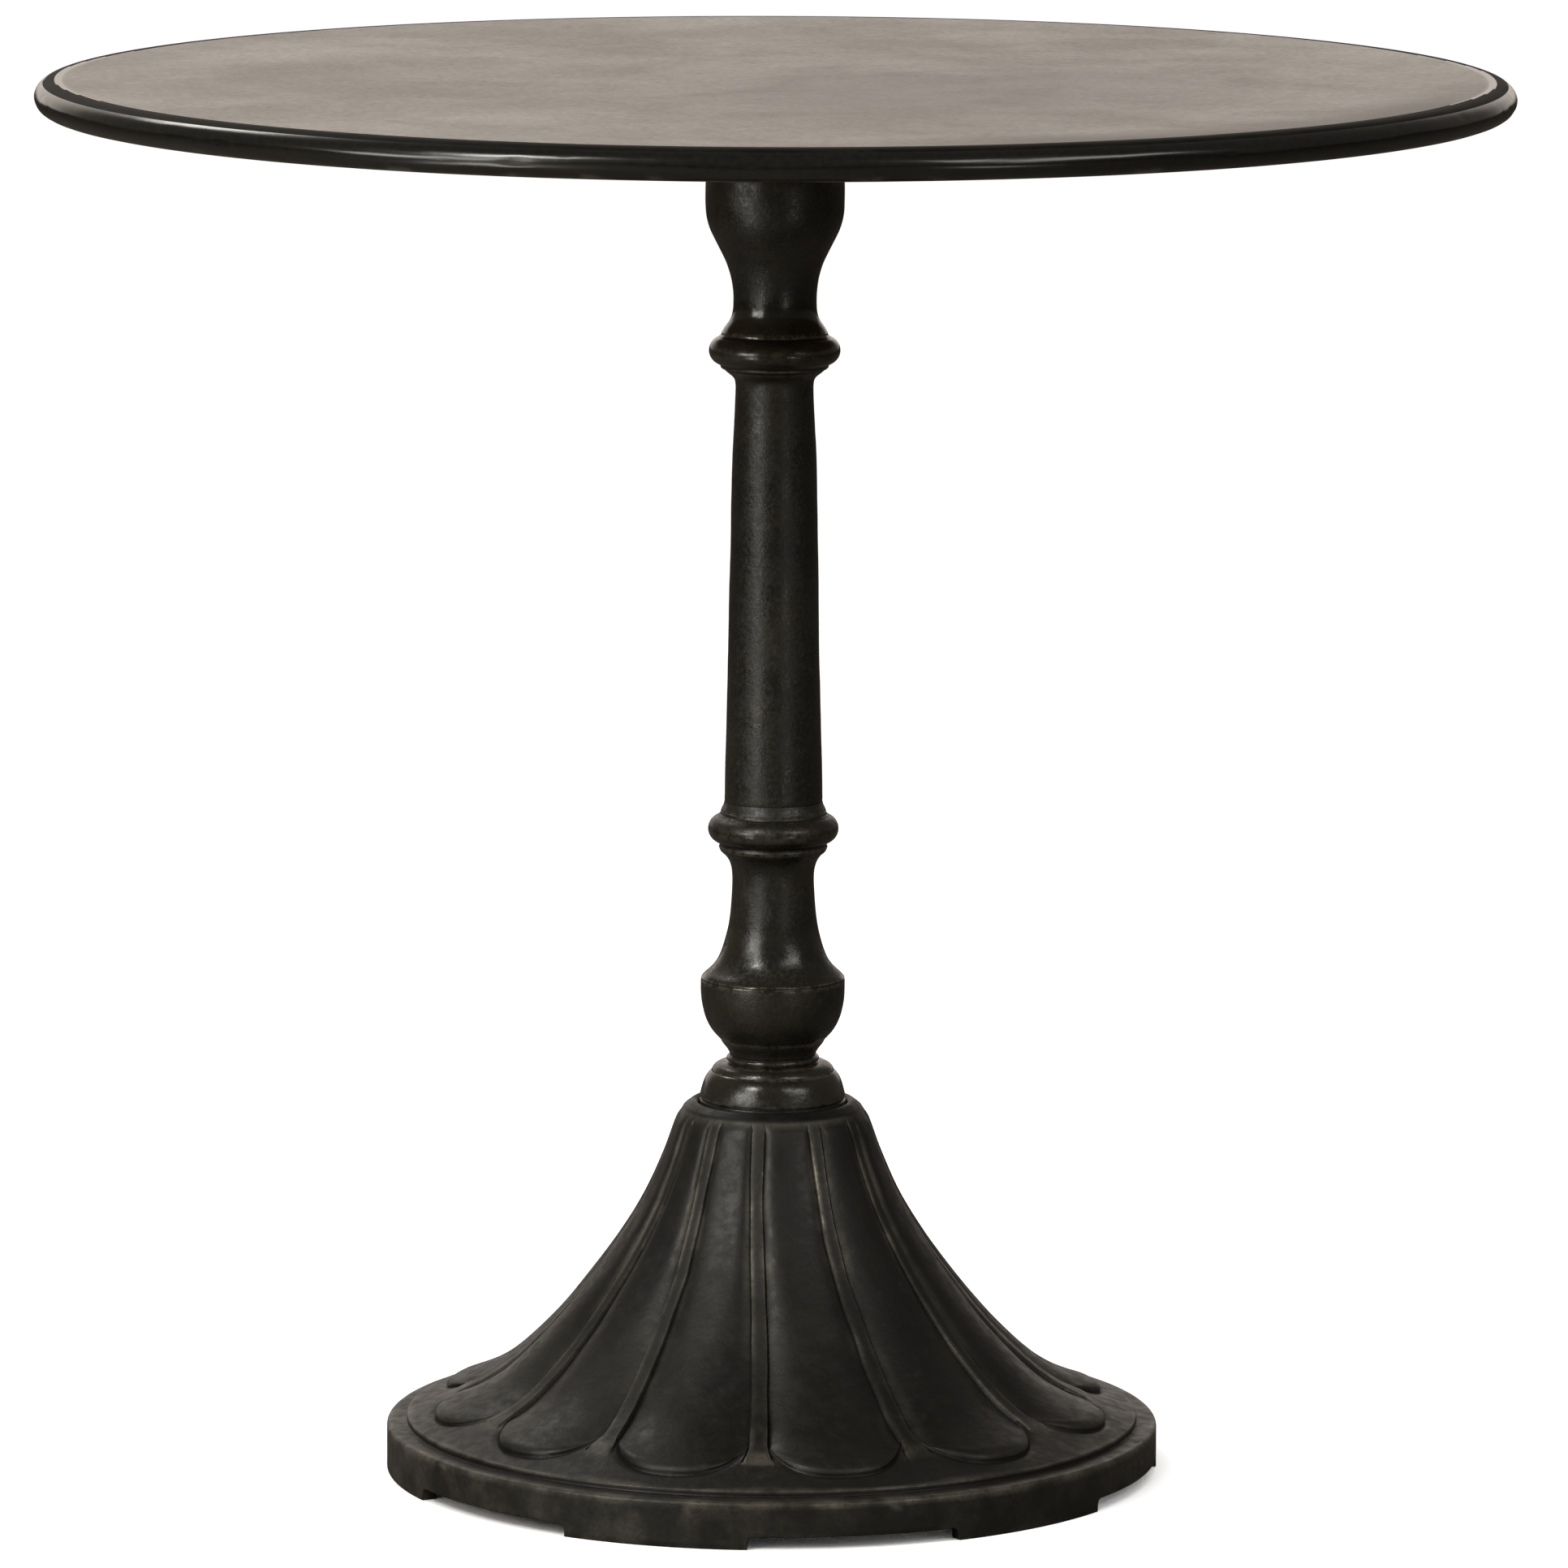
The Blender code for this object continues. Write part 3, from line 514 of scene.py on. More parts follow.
# Ribs that were set out by eye: (radius, degrees off their nominal azimuth)
RIB_DRIFT = {
    11: ((0.0495, -6.4), (0.0615, -6.1), (0.0880, -2.5), (0.1650, -0.8)),
    0: ((0.0495, -7.0), (0.0615, -6.4), (0.0750, -4.7), (0.0880, -3.4), (0.1000, -2.4),
        (0.1200, -1.5), (0.1400, -1.1), (0.1700, -0.9)),
    1: ((0.0495, -2.0), (0.0615, -2.7), (0.0750, -3.3), (0.0880, -3.2), (0.1050, -2.2),
        (0.1300, -1.6), (0.1700, -1.2)),
    2: ((0.0495, -1.2), (0.0880, -1.4), (0.1700, -1.0)),
    10: ((0.0495, -0.5), (0.1700, 0.0)),
    3: ((0.0495, 1.2), (0.0880, 0.8), (0.1700, 0.2)),
    4: ((0.0495, -1.6), (0.0880, -0.7), (0.1700, 0.3)),
    5: ((0.0495, 2.1), (0.0880, 1.0), (0.1700, 0.4)),
    6: ((0.0495, 1.5), (0.1000, -0.4), (0.1700, -0.3)),
    7: ((0.0495, -2.4), (0.0880, -1.0), (0.1700, 0.5)),
    8: ((0.0495, -0.8), (0.0880, 0.9), (0.1700, 0.1)),
    9: ((0.0495, 1.9), (0.1000, 0.3), (0.1700, -0.4)),
}

BELL_FINE = np.array(spline(BELL_CURVE, 0.0012))


def bell_height(radius):
    return np.interp(radius, BELL_FINE[:, 0], BELL_FINE[:, 1])


def bell_normal(radius):
    """Outward normal of the plain bell in the profile plane: radial and upward parts."""
    step = 0.0008
    slope = (bell_height(radius + step) - bell_height(radius - step)) / (2 * step)
    length = np.hypot(slope, 1.0)
    return -slope / length, 1.0 / length


def bell_stations():
    """Nominal radii of the rows on the bell, about evenly spaced along its curve."""
    run = np.concatenate([[0], np.cumsum(np.hypot(*np.diff(BELL_FINE, axis=0).T))])
    last = np.interp(LOBE_END, BELL_FINE[:, 0], run)
    spaced = np.interp(np.linspace(0, last, 122), run, BELL_FINE[:, 0])
    return np.concatenate([spaced[:-1], [0.1849, 0.1856, LOBE_END]])


def foot_columns():
    """Azimuth and lower edge of each column at the plinth, for one notch and one foot."""
    degree = math.degrees(1 / BASE_RADIUS)
    spring = NOTCH_HEIGHT - NOTCH_CORNER
    rise = [(d * degree, spring + math.sqrt(NOTCH_CORNER ** 2 - (NOTCH_CORNER - d) ** 2))
            for d in (0.0003, 0.0008, 0.0015, 0.0026, NOTCH_CORNER)]
    first, last = rise[-1][0], NOTCH_SPAN - rise[-1][0]
    places = [(-0.01, 0.0), (0.0, spring)] + rise
    places += [(first + (last - first) * step / NOTCH_STEPS, NOTCH_HEIGHT)
               for step in range(1, NOTCH_STEPS)]
    places += [(NOTCH_SPAN - turn, height) for turn, height in reversed(rise)]
    places += [(NOTCH_SPAN, spring), (NOTCH_SPAN + 0.01, 0.0)]
    foot = NOTCH_PERIOD - NOTCH_SPAN
    return places + [(NOTCH_SPAN + foot * step / FOOT_STEPS, 0.0) for step in range(1, FOOT_STEPS)]


def make_base():
    """The fluted bell, its disc, the notched plinth and the hollow inside, as one closed grid."""
    sectors = np.arange(PETALS)
    stations = bell_stations()
    disc = np.concatenate([[0.18615, 0.18635, 0.1869, 0.1876], np.linspace(0.1887, 0.1986, 12),
                           [0.1991, DISC_RADIUS]])
    radii = np.concatenate([stations, disc])
    rows = len(radii)
    on_petal = len(stations)

    # Place of each column within its sector: across a rib, or across a petal
    rib_across = np.array([-1.0, -0.84, -0.66, -0.25, 0.25, 0.66, 0.84, 1.0])
    petal_share = 0.5 - 0.5 * np.cos(np.pi * (np.arange(PETAL_COLUMNS) + 0.85)
                                     / (PETAL_COLUMNS + 0.7))
    petal_across = 2 * petal_share - 1
    from_middle = np.abs(petal_across)

    radius = radii[:, None, None]
    lobe_wobble = 0.0014 * np.sin(sectors * 2.4 + 0.8)[None, :, None]
    shape = np.concatenate([np.ones(RIB_COLUMNS), from_middle])[None, None, :] ** LOBE_SHAPE
    share = np.where(radius <= LOBE_END,
                     np.clip((radius - BEND_START) / (LOBE_END - BEND_START), 0, 1) ** 2,
                     (DISC_RADIUS - radius) / (DISC_RADIUS - LOBE_END))
    bent = radius - LOBE_SHOULDER * share * shape - lobe_wobble * share * (1 - shape)
    bent = np.broadcast_to(bent, (rows, PETALS, SECTOR_COLUMNS)).copy()

    # Rib centres and half widths, in degrees, at each row's radius beside the ribs
    rib_radius = bent[:, :, 0]
    centre = np.stack([RIB_AZIMUTH + PITCH * sector
                       + np.interp(rib_radius[:, sector], *zip(*RIB_DRIFT[sector]))
                       for sector in range(PETALS)], axis=1)
    width = np.interp(rib_radius, [0.0495, 0.080, 0.120, 0.160, 0.172, 0.180],
                      [0.0036, 0.0040, 0.0046, 0.0050, 0.0082, 0.0090])
    edge_noise = value_noise(np.stack([rib_radius, sectors[None, :] * 0.31 + 0 * rib_radius,
                                       0 * rib_radius], axis=-1), 0.011, 5)
    half = np.degrees(width * (1 + 0.07 * edge_noise) / rib_radius)

    azimuth = np.zeros((rows, PETALS, SECTOR_COLUMNS))
    azimuth[:, :, :RIB_COLUMNS] = centre[:, :, None] + half[:, :, None] * rib_across
    start = centre + half
    end = np.roll(centre, -1, axis=1) - np.roll(half, -1, axis=1)
    end[:, -1] += 360.0
    azimuth[:, :, RIB_COLUMNS:] = start[:, :, None] + (end - start)[:, :, None] * petal_share

    # Rise over the plain bell, along its normal
    crown = 0.0006 + 0.0030 * np.clip((radius - PETAL_START) / (LOBE_END - PETAL_START), 0, 1)
    groove = 0.0011 + 0.0009 * smoothstep(0.055, 0.120, radius)
    power = np.interp(radius, [0.0495, 0.075, 0.110, 0.150, 0.178, LOBE_END],
                      [7.0, 5.0, 3.0, 2.6, 3.6, 5.0])
    top_fade = smoothstep(PETAL_START, PETAL_START + 0.0030, radius)
    right_side = 1 - 0.42 * smoothstep(0.080, 0.115, radius) * (petal_across > 0)
    petal = ((crown + groove) * (1 - from_middle ** (power * right_side)) - groove) * top_fade
    past_round = np.clip(radius - LOBE_ROUND_START, 0, 1) / LOBE_ROUND
    ending = np.sqrt(np.clip(1 - past_round ** 2, 0, 1))
    index = np.arange(rows)[:, None, None]
    wall = np.select([index == on_petal, index == on_petal + 1, index == on_petal + 2],
                     [0.18, -0.03, -0.05], 0.0)
    blunt = 1 - from_middle ** 6
    petal = np.where(index < on_petal, petal * ending,
                     wall * crown * blunt - 0.0004 * (index == on_petal + 2))
    trench = np.where(index > on_petal, 1 - smoothstep(0.1874, 0.1912, radius), 0.0)
    petal = petal - 0.0009 * trench * blunt
    rib_bent = bent[:, :, :RIB_COLUMNS]
    settle = 1 - smoothstep(RIB_END - 0.003, RIB_END + 0.001, rib_bent)
    rib_shape = np.array([-1.0, -0.14, 0.0, 0.03, 0.03, 0.0, -0.14, -1.0])
    rib = 0.0009 * smoothstep(0.110, 0.155, rib_bent) * settle + 0.00012 * rib_shape
    rib = np.where(rib_shape < -0.5, -groove * top_fade * settle, rib)
    lift = np.concatenate([rib, np.broadcast_to(petal, (rows, PETALS, PETAL_COLUMNS))], axis=2)

    out, up = bell_normal(bent)
    columns = PETALS * SECTOR_COLUMNS
    shell_radius, shell_height, azimuth, bent = (
        grid.reshape(rows, columns)
        for grid in (bent + out * lift, bell_height(bent) + up * lift, azimuth, bent))

    # Plinth columns, aligned with the notches
    foot = foot_columns()
    foot_turn = np.zeros(columns)
    low_edge = np.zeros(columns)
    for column in range(columns):
        turn_number, place = divmod(column + 3, 2 * SECTOR_COLUMNS)
        foot_turn[column] = NOTCH_START + NOTCH_PERIOD * turn_number + foot[place][0]
        low_edge[column] = foot[place][1]
    even = np.linspace(0, 360, columns, endpoint=False) + RIB_AZIMUTH - 3.0

    toward_foot = smoothstep(0.1935, DISC_RADIUS, radii)[:, None]
    azimuth = azimuth * (1 - toward_foot) + foot_turn * toward_foot

    grid_r, grid_z, grid_a = [], [], []
    wear, painted_shade, skin = [], [], []

    def add_row(row_radius, row_height, row_azimuth, rub=0.0, dark=0.0, skin_depth=1.0):
        row = (row_radius, row_height, row_azimuth, rub, dark, skin_depth)
        for values, value in zip((grid_r, grid_z, grid_a, wear, painted_shade, skin), row):
            values.append(value * np.ones(columns))

    # Mouth: inner wall, rounded crest and the slope to the arris, darkened with painted shade under
    # the collar
    top_azimuth = azimuth[0]
    add_row(MOUTH_RADIUS, SEAT_HEIGHT, even, dark=0.8, skin_depth=0.0)
    lip_centre = (MOUTH_RADIUS + LIP_ROUND, MOUTH_CREST - LIP_ROUND)
    for lip_radius, lip_height in arc(lip_centre, LIP_ROUND, 180, 45, 7):
        add_row(lip_radius, lip_height, top_azimuth, dark=0.6, skin_depth=0.3)
    for lip_radius, lip_height in ((0.0462, 0.2019), (0.0475, 0.2010), (0.0486, 0.2000)):
        add_row(lip_radius, lip_height, top_azimuth, dark=0.85, skin_depth=0.5)

    # Bell and disc. The right of each petal drops more steeply, into a groove darkened with painted
    # shade.
    def all_round(on_rib, petal_values):
        return np.tile(np.concatenate([on_rib, petal_values]), PETALS)

    # Rubbed edges on the ribs and petals, lighter on one edge of each rib than the other and far
    # lighter high up the bell: wear with a painted highlight laid on it
    sector_wear_and_highlight = all_round([0.0, 0.66, 0.34, 0.03, 0.02, 0.14, 0.36, 0.0],
                            0.16 * band(0.70, 0.93, 0.965, 0.995, from_middle))
    sector_groove_shade = all_round([0.6, 0, 0, 0, 0, 0, 0, 0.6],
                            0.75 * smoothstep(0.86, 0.98, from_middle))
    sector_right_shade = all_round([0.85, 0.2, 0, 0, 0, 0, 0, 0],
                             0.85 * smoothstep(0.62, 0.90, petal_across))
    is_rib = all_round(np.ones(RIB_COLUMNS), np.zeros(PETAL_COLUMNS))
    for row in range(rows):
        radial, place = radii[row], bent[row]
        upper_rib_highlight = band(0.052, 0.058, 0.078, 0.098, place)
        rub = sector_wear_and_highlight * (0.42 + 1.0 * upper_rib_highlight) * (1 - smoothstep(0.172, 0.178, place))
        # Painted shade in the grooves beside the ribs and petals, deeper on the right of each petal
        dark = np.maximum(sector_groove_shade, sector_right_shade * smoothstep(0.085, 0.120, place))
        dark = dark * (1 - smoothstep(RIB_END - 0.006, RIB_END, place))
        # Painted shadow on the disc just below the end of each lobe
        under = band(0.18598, 0.18612, 0.18740, 0.18900, radial)
        dark = np.maximum(dark, under * (1 - is_rib))
        lobe = band(0.1815, 0.1848, 0.18605, 0.18618, radial)
        flare = is_rib * band(0.163, 0.169, 0.1735, 0.1765, place)
        for more in (0.05 * lobe * (1 - is_rib), 0.252 * flare,
                     0.25 * smoothstep(0.1978, DISC_RADIUS, radial),
                     0.22 - 0.12 * row if row < 2 else 0.0):
            rub = np.maximum(rub, more)
        add_row(shell_radius[row], shell_height[row], azimuth[row], rub, dark)

    # Edge of the disc, step darkened with painted shade, ledge, rounded plinth edge and side
    for step_radius, step_height, rub, dark in (
            (0.19965, 0.0291, 0.25, 0.0), (0.1998, 0.0286, 0.1, 0.4), (0.1998, 0.0275, 0.0, 0.8),
            (0.1998, 0.0265, 0.0, 1.0), (0.2001, 0.0262, 0.0, 1.0), (0.2009, 0.02613, 0.1, 0.4),
            (0.2030, 0.02603, 0.06, 0.0), (0.2055, 0.02592, 0.08, 0.0),
            (0.2075, 0.02582, 0.16, 0.0)):
        add_row(step_radius, step_height, foot_turn, rub, dark)
    edge_centre = (BASE_RADIUS - PLINTH_EDGE_ROUND, PLINTH_HEIGHT - PLINTH_EDGE_ROUND)
    for edge_radius, edge_height in arc(edge_centre, PLINTH_EDGE_ROUND, 90, 0, 7):
        add_row(edge_radius, edge_height, foot_turn, rub=0.34, skin_depth=0.6)
    side_top = edge_centre[1]
    # The left half of the side gets more of the light rubbed colour: a painted sheen for the light
    # falling on that side
    for share_down in (0.12, 0.30, 0.50, 0.70, 0.86):
        add_row(BASE_RADIUS, side_top + (low_edge + 0.0006 - side_top) * share_down, foot_turn,
                rub=0.06 + 0.07 * (np.sin(np.radians(foot_turn)) < 0), skin_depth=0.7)
    outer_rows = len(grid_r)
    inner_wall = BASE_RADIUS - PLINTH_WALL
    # The inner edge under the plinth darkens with painted shade
    for foot_radius, above, rub, dark in (
            (BASE_RADIUS, 0.0006, 0.15, 0.0), (BASE_RADIUS - 0.0002, 0.0002, 0.15, 0.0),
            (BASE_RADIUS - 0.0006, 0.0, 0.30, 0.0), (inner_wall + 0.0006, 0.0, 0.0, 0.3),
            (inner_wall, 0.0006, 0.0, 0.5)):
        add_row(foot_radius, low_edge + above, foot_turn, rub, dark, skin_depth=0.0)

    # Inside, darkened with painted shade
    inner = [(inner_wall, 0.0120), (inner_wall, 0.0165), (0.2000, 0.0196), (0.1970, 0.0222)]
    inner_radii = np.array([0.1900, 0.1860, 0.1800, 0.1720, 0.1640, 0.1550, 0.1450, 0.1350, 0.1250,
                            0.1150, 0.1050, 0.0960, 0.0880, 0.0800, 0.0740, 0.0680, 0.0620, 0.0580])
    out, up = bell_normal(inner_radii)
    inner += list(zip(inner_radii - out * BELL_WALL, bell_height(inner_radii) - up * BELL_WALL))
    web = SEAT_HEIGHT - WEB_THICKNESS
    socket_floor = SEAT_HEIGHT - SOCKET_DEPTH
    inner += [(0.0470, web + 0.0004), (0.0455, web), (0.0300, web), (0.0150, web),
              (ROD_HOLE_RADIUS + 0.0004, web), (ROD_HOLE_RADIUS, web + 0.0004),
              (ROD_HOLE_RADIUS, socket_floor), (SOCKET_RADIUS, socket_floor),
              (SOCKET_RADIUS, SEAT_HEIGHT)]
    for number, (inner_radius, inner_height) in enumerate(inner):
        toward_even = min(1.0, number / 8)
        add_row(inner_radius, inner_height, foot_turn * (1 - toward_even) + even * toward_even,
                rub=0.05, dark=0.35, skin_depth=1.0 if 1 < number < len(inner) - 9 else 0.0)

    # Cast skin, which only goes inward where the size matters, and knocks on the plinth's edge
    points = turned(np.array(grid_r), np.array(grid_a), np.array(grid_z))
    normals = grid_normals(points)
    wear, skin = np.array(wear), np.array(skin)
    rough_cast = CAST_SKIN * fractal(points, 0.026, 3, 2)
    rough_cast = np.where(skin < 1.0, np.minimum(rough_cast, 0.0), rough_cast)
    dent_noise = value_noise(points, 0.0055, 21) + 0.5 * value_noise(points, 0.0024, 22)
    edge_zone = np.zeros_like(skin)
    edge_zone[outer_rows - 13:outer_rows - 4] = 1.0
    dents = edge_zone * smoothstep(0.55, 1.15, dent_noise)
    points = points + normals * (skin * rough_cast - DENT_DEPTH * dents)[..., None]
    chips = 0.50 * dents * smoothstep(0.1, 0.6, value_noise(points, 0.02, 44) + 0.35)
    flecks = smoothstep(0.62, 0.80, value_noise(points, 0.0016, 31)) * (wear > 0.5)
    flecks = flecks * smoothstep(-0.2, 0.5, value_noise(points, 0.03, 45))
    masks = {"wear": wear, "painted_shade": np.array(painted_shade), "chips": np.maximum(chips, 0.35 * flecks)}
    base = grid_object("base_casting_fine", points, BASE_IRON, masks, sharp_angle=48.0)
    return stand_for(base, "base_iron", "base_casting")


make_base()


# Column ------------------------------------------------------------------------------------------
COLUMN_COLUMNS = 112
CAPITAL_TOP = 0.7160
SHAFT_TOP = 0.6042
VASE_TOP = 0.3685
BOWL_TOP = 0.2706
COLLAR_TOP = 0.2288
COLLAR_FOOT = 0.1990
RING_CORE = 0.0280            # radius of the half-round rings' centre circle
RING_BULGE = 0.0075
UPPER_RING = 0.6146
LOWER_RING = 0.3532
STEP = 0.0011                 # spacing of rows along the mouldings
COLUMN_SKIN = 0.00022         # unevenness of the castings


def column_piece(name, node, outer, slot, worn=(), dark=(), gloss=()):
    """A hollow column casting: outer profile, spigot, bore and socket, slightly uneven as cast.

    worn, dark and gloss are (height, reach, strength) bands along the outside; the dark bands are
    painted shade in the recesses and joints.
    """
    top, foot = outer[0][1], outer[-1][1]
    spigot, socket = foot - SPIGOT_LENGTH, top - SOCKET_DEPTH
    outside = len(outer)
    outline = outer + [(SPIGOT_RADIUS + 0.0004, foot), (SPIGOT_RADIUS, foot - 0.0004),
                       (SPIGOT_RADIUS, spigot), (BORE_RADIUS, spigot)]
    outline += [(BORE_RADIUS, spigot + (top - foot) * share) for share in (0.25, 0.5, 0.75)]
    outline += [(BORE_RADIUS, socket), (SOCKET_RADIUS, socket), (SOCKET_RADIUS, top)]
    points = ring_points(outline, even_azimuths(COLUMN_COLUMNS))
    height = points[..., 2]
    reach = np.minimum(smoothstep(foot, foot + 0.0012, height),
                       1 - smoothstep(top - 0.0012, top, height))
    on_outside = np.zeros(points.shape[:2])
    on_outside[1:outside - 1] = 1.0
    seed = 60 + len(name)
    uneven = (COLUMN_SKIN * fractal(points, 0.028, seed, 2)
              + 0.00005 * value_noise(points, 0.006, seed + 5))
    points = points + grid_normals(points) * (uneven * on_outside * reach)[..., None]
    masks = {}
    for label, bands in (("wear", worn), ("painted_shade", dark), ("gloss", gloss)):
        masks[label] = np.zeros(points.shape[:2])
        for middle, width, strength in bands:
            near = 1 - smoothstep(width * 0.4, width, np.abs(height - middle))
            masks[label] = np.maximum(masks[label], strength * on_outside * near)
    # Painted shade inside the bore and socket
    masks["painted_shade"][outside:] = 0.6
    piece = grid_object(name, points, COLUMN_IRON, masks, sharp_angle=32.0)
    return stand_for(piece, slot, node)


def moulding(height, above, below):
    """A half-round ring with a narrow square fillet above and below it, as profile points."""
    points = [(above[0] - 0.0002, above[1]), (0.0287, height + 0.0098), (0.0288, height + 0.0086),
              (0.0291, height + 0.0081), (0.0299, height + 0.0077)]
    points += arc((RING_CORE, height), RING_BULGE, 72, -72, 22)
    return points + [(0.0298, height - 0.0076), (0.0293, height - 0.0080),
                     (0.0292, height - 0.0088), below]


cup = spline((
    (0.0362, 0.7132), (0.0374, 0.7070), (0.03755, 0.6960), (0.0371, 0.6880), (0.0355, 0.6815),
    (0.0329, 0.6757), (0.0295, 0.6690), (0.0262, 0.6620), (0.0239, 0.6545), (0.0227, 0.6475),
    (0.02245, 0.6415), (0.0228, 0.6360), (0.0238, 0.6321), (0.0254, 0.6293), (0.0271, 0.6270),
    (0.0282, 0.6250)), 0.0016)
capital = [(0.0335, CAPITAL_TOP)] + arc((0.0345, CAPITAL_TOP - 0.0020), 0.0020, 80, 10, 5) + cup
capital += moulding(UPPER_RING, (0.0286, 0.6246), (0.0291, 0.6055))
capital += [(0.0284, 0.6048), (0.0274, SHAFT_TOP + GAP)]
column_piece(
    "column_capital_fine", "column_capital", capital, "column_iron",
    worn=((UPPER_RING, 0.0045, 0.25), (0.6246, 0.0009, 0.6), (0.6056, 0.0009, 0.6),
          (0.7138, 0.002, 0.5)),
    dark=((0.6226, 0.0010, 0.9), (0.6068, 0.0008, 0.9)),
    gloss=((0.6290, 0.0190, 1.0), (0.6135, 0.0070, 0.8), (0.6246, 0.0012, 0.8)))

shaft = [(0.0272, SHAFT_TOP), (0.0262, 0.6033), (0.0247, 0.6021), (0.0233, 0.6010),
         (0.0223, 0.6000), (0.0217, 0.5990), (0.0213, 0.5976)]
shaft += spline((
    (0.0211, 0.5950), (0.0213, 0.5880), (0.0219, 0.5740), (0.0225, 0.5610), (0.0230, 0.5470),
    (0.0235, 0.5230), (0.0241, 0.4900), (0.0247, 0.4530), (0.0255, 0.4200), (0.0262, 0.3920),
    (0.0266, 0.3720)), 0.0030)
shaft += [(0.0267, 0.3704), (0.0266, VASE_TOP + GAP)]
column_piece(
    "column_shaft_fine", "column_shaft", shaft, "column_iron",
    worn=((SHAFT_TOP - 0.0006, 0.0012, 0.4),),
    dark=((0.6000, 0.0018, 0.5), (0.3692, 0.0007, 0.8)))

vase = [(0.0266, VASE_TOP), (0.0268, 0.3676), (0.0272, 0.3662), (0.0279, 0.3648), (0.0284, 0.3636)]
vase += moulding(LOWER_RING, (0.0286, 0.3632), (0.0296, 0.3434))
vase += [(0.0293, 0.3424), (0.0287, 0.3411), (0.0276, 0.3400), (0.0264, 0.3391), (0.0251, 0.3375)]
vase += spline((
    (0.0240, 0.3357), (0.0231, 0.3332), (0.0225, 0.3300), (0.0223, 0.3250), (0.0226, 0.3175),
    (0.0232, 0.3090), (0.0242, 0.3010), (0.0256, 0.2942), (0.0275, 0.2875), (0.0297, 0.2820),
    (0.0321, 0.2783), (0.0345, 0.2757), (0.0368, 0.2737), (0.0382, 0.2723)), STEP)
vase += [(0.0388, 0.2716), (0.0390, 0.2712), (0.0389, BOWL_TOP + GAP)]
# The rubbed band on the arris at 0.2713 is set strong to stand in for its glint: real wear and
# painted highlight
column_piece(
    "column_vase_fine", "column_vase", vase, "column_iron",
    worn=((LOWER_RING, 0.0045, 0.25), (0.3634, 0.0009, 0.5), (0.3430, 0.0012, 0.6),
          (0.2713, 0.0011, 0.9)),
    dark=((0.3613, 0.0010, 0.9), (0.3452, 0.0008, 0.9), (0.3692, 0.0007, 0.8)),
    gloss=((LOWER_RING - 0.002, 0.0060, 0.7), (0.2930, 0.0160, 0.6), (0.2713, 0.0024, 1.0)))

bowl = [(0.0389, BOWL_TOP), (0.03912, 0.2702), (0.0392, 0.2694)]
bowl += spline((
    (0.0392, 0.2680), (0.0392, 0.2640), (0.0389, 0.2592), (0.0381, 0.2545), (0.0370, 0.2502),
    (0.0352, 0.2458), (0.0329, 0.2421), (0.0304, 0.2392), (0.0290, 0.2378)), STEP)
bowl += spline((
    (0.0284, 0.2369), (0.0274, 0.2351), (0.0259, 0.2333), (0.0246, 0.2315),
    (0.0238, 0.2300)), STEP)
bowl += [(0.0235, COLLAR_TOP + GAP)]
# The rubbed band on the arris at 0.2700 is set strong to stand in for its glint: real wear and
# painted highlight
column_piece(
    "column_bowl_fine", "column_bowl", bowl, "column_iron",
    worn=((0.2700, 0.0011, 0.9), (0.2373, 0.0010, 0.7)), dark=((0.2294, 0.0008, 0.8),),
    gloss=((0.2702, 0.0024, 1.0), (0.2373, 0.0030, 0.6)))

collar = [(0.0233, COLLAR_TOP), (0.0240, 0.2284)] + arc((0.0236, 0.2266), 0.0017, 75, -55, 8)
collar += [(0.0250, 0.2248), (0.0262, 0.2246), (0.0280, 0.2244)]
collar += spline((
    (0.0290, 0.2242), (0.0306, 0.2235), (0.0320, 0.2225), (0.0330, 0.2211),
    (0.0334, 0.2201)), 0.0008)
collar += [(0.0334, 0.2198)]
collar += spline((
    (0.0339, 0.2195), (0.0352, 0.2181), (0.0368, 0.2157), (0.0379, 0.2130), (0.0388, 0.2100),
    (0.0395, 0.2072), (0.0397, 0.2056)), STEP)
collar += [(0.0396, 0.2052), (0.0391, 0.2049), (0.0391, 0.2042), (0.0397, 0.2038),
           (0.0399, 0.2030), (0.0399, 0.2010), (0.0399, COLLAR_FOOT)]
column_piece(
    "base_collar_fine", "base_collar", collar, "column_iron",
    worn=((0.2266, 0.0016, 0.35), (0.2200, 0.0008, 0.7), (0.2243, 0.0006, 0.4),
          (0.2056, 0.0010, 0.4)),
    dark=((0.2249, 0.0005, 0.9), (0.2045, 0.0010, 0.9), (0.2020, 0.0014, 1.0)),
    gloss=((0.2266, 0.0024, 1.0), (0.2160, 0.0100, 0.75)))


# Top ---------------------------------------------------------------------------------------------
TABLE_HEIGHT = 0.762
TOP_RADIUS = 0.3985
RIM_ROUND = 0.0085
SHEET_THICKNESS = 0.0012
HEM_WIDTH = 0.021
HEM_LEVEL = TABLE_HEIGHT - 2 * RIM_ROUND
RIM_CENTRE = (TOP_RADIUS - RIM_ROUND, TABLE_HEIGHT - RIM_ROUND)
RIM_SHOULDER = 0.0125         # how far in from the edge the top starts to turn down
TOP_COLUMNS = 720
TOP_DISH = 0.00035            # how far the middle of the top lies below its edge
LINE_RADIUS = 0.3822          # where the dark line round the rim starts
LINE_SHIFT = 0.0050           # how much further out it starts at the left and right ends
LINE_ENDS = (62, 88)          # degrees sideways over which it moves out
LINE_STEEPEST = 62            # its faces look up at least this many degrees
TACK_COUNT = 12


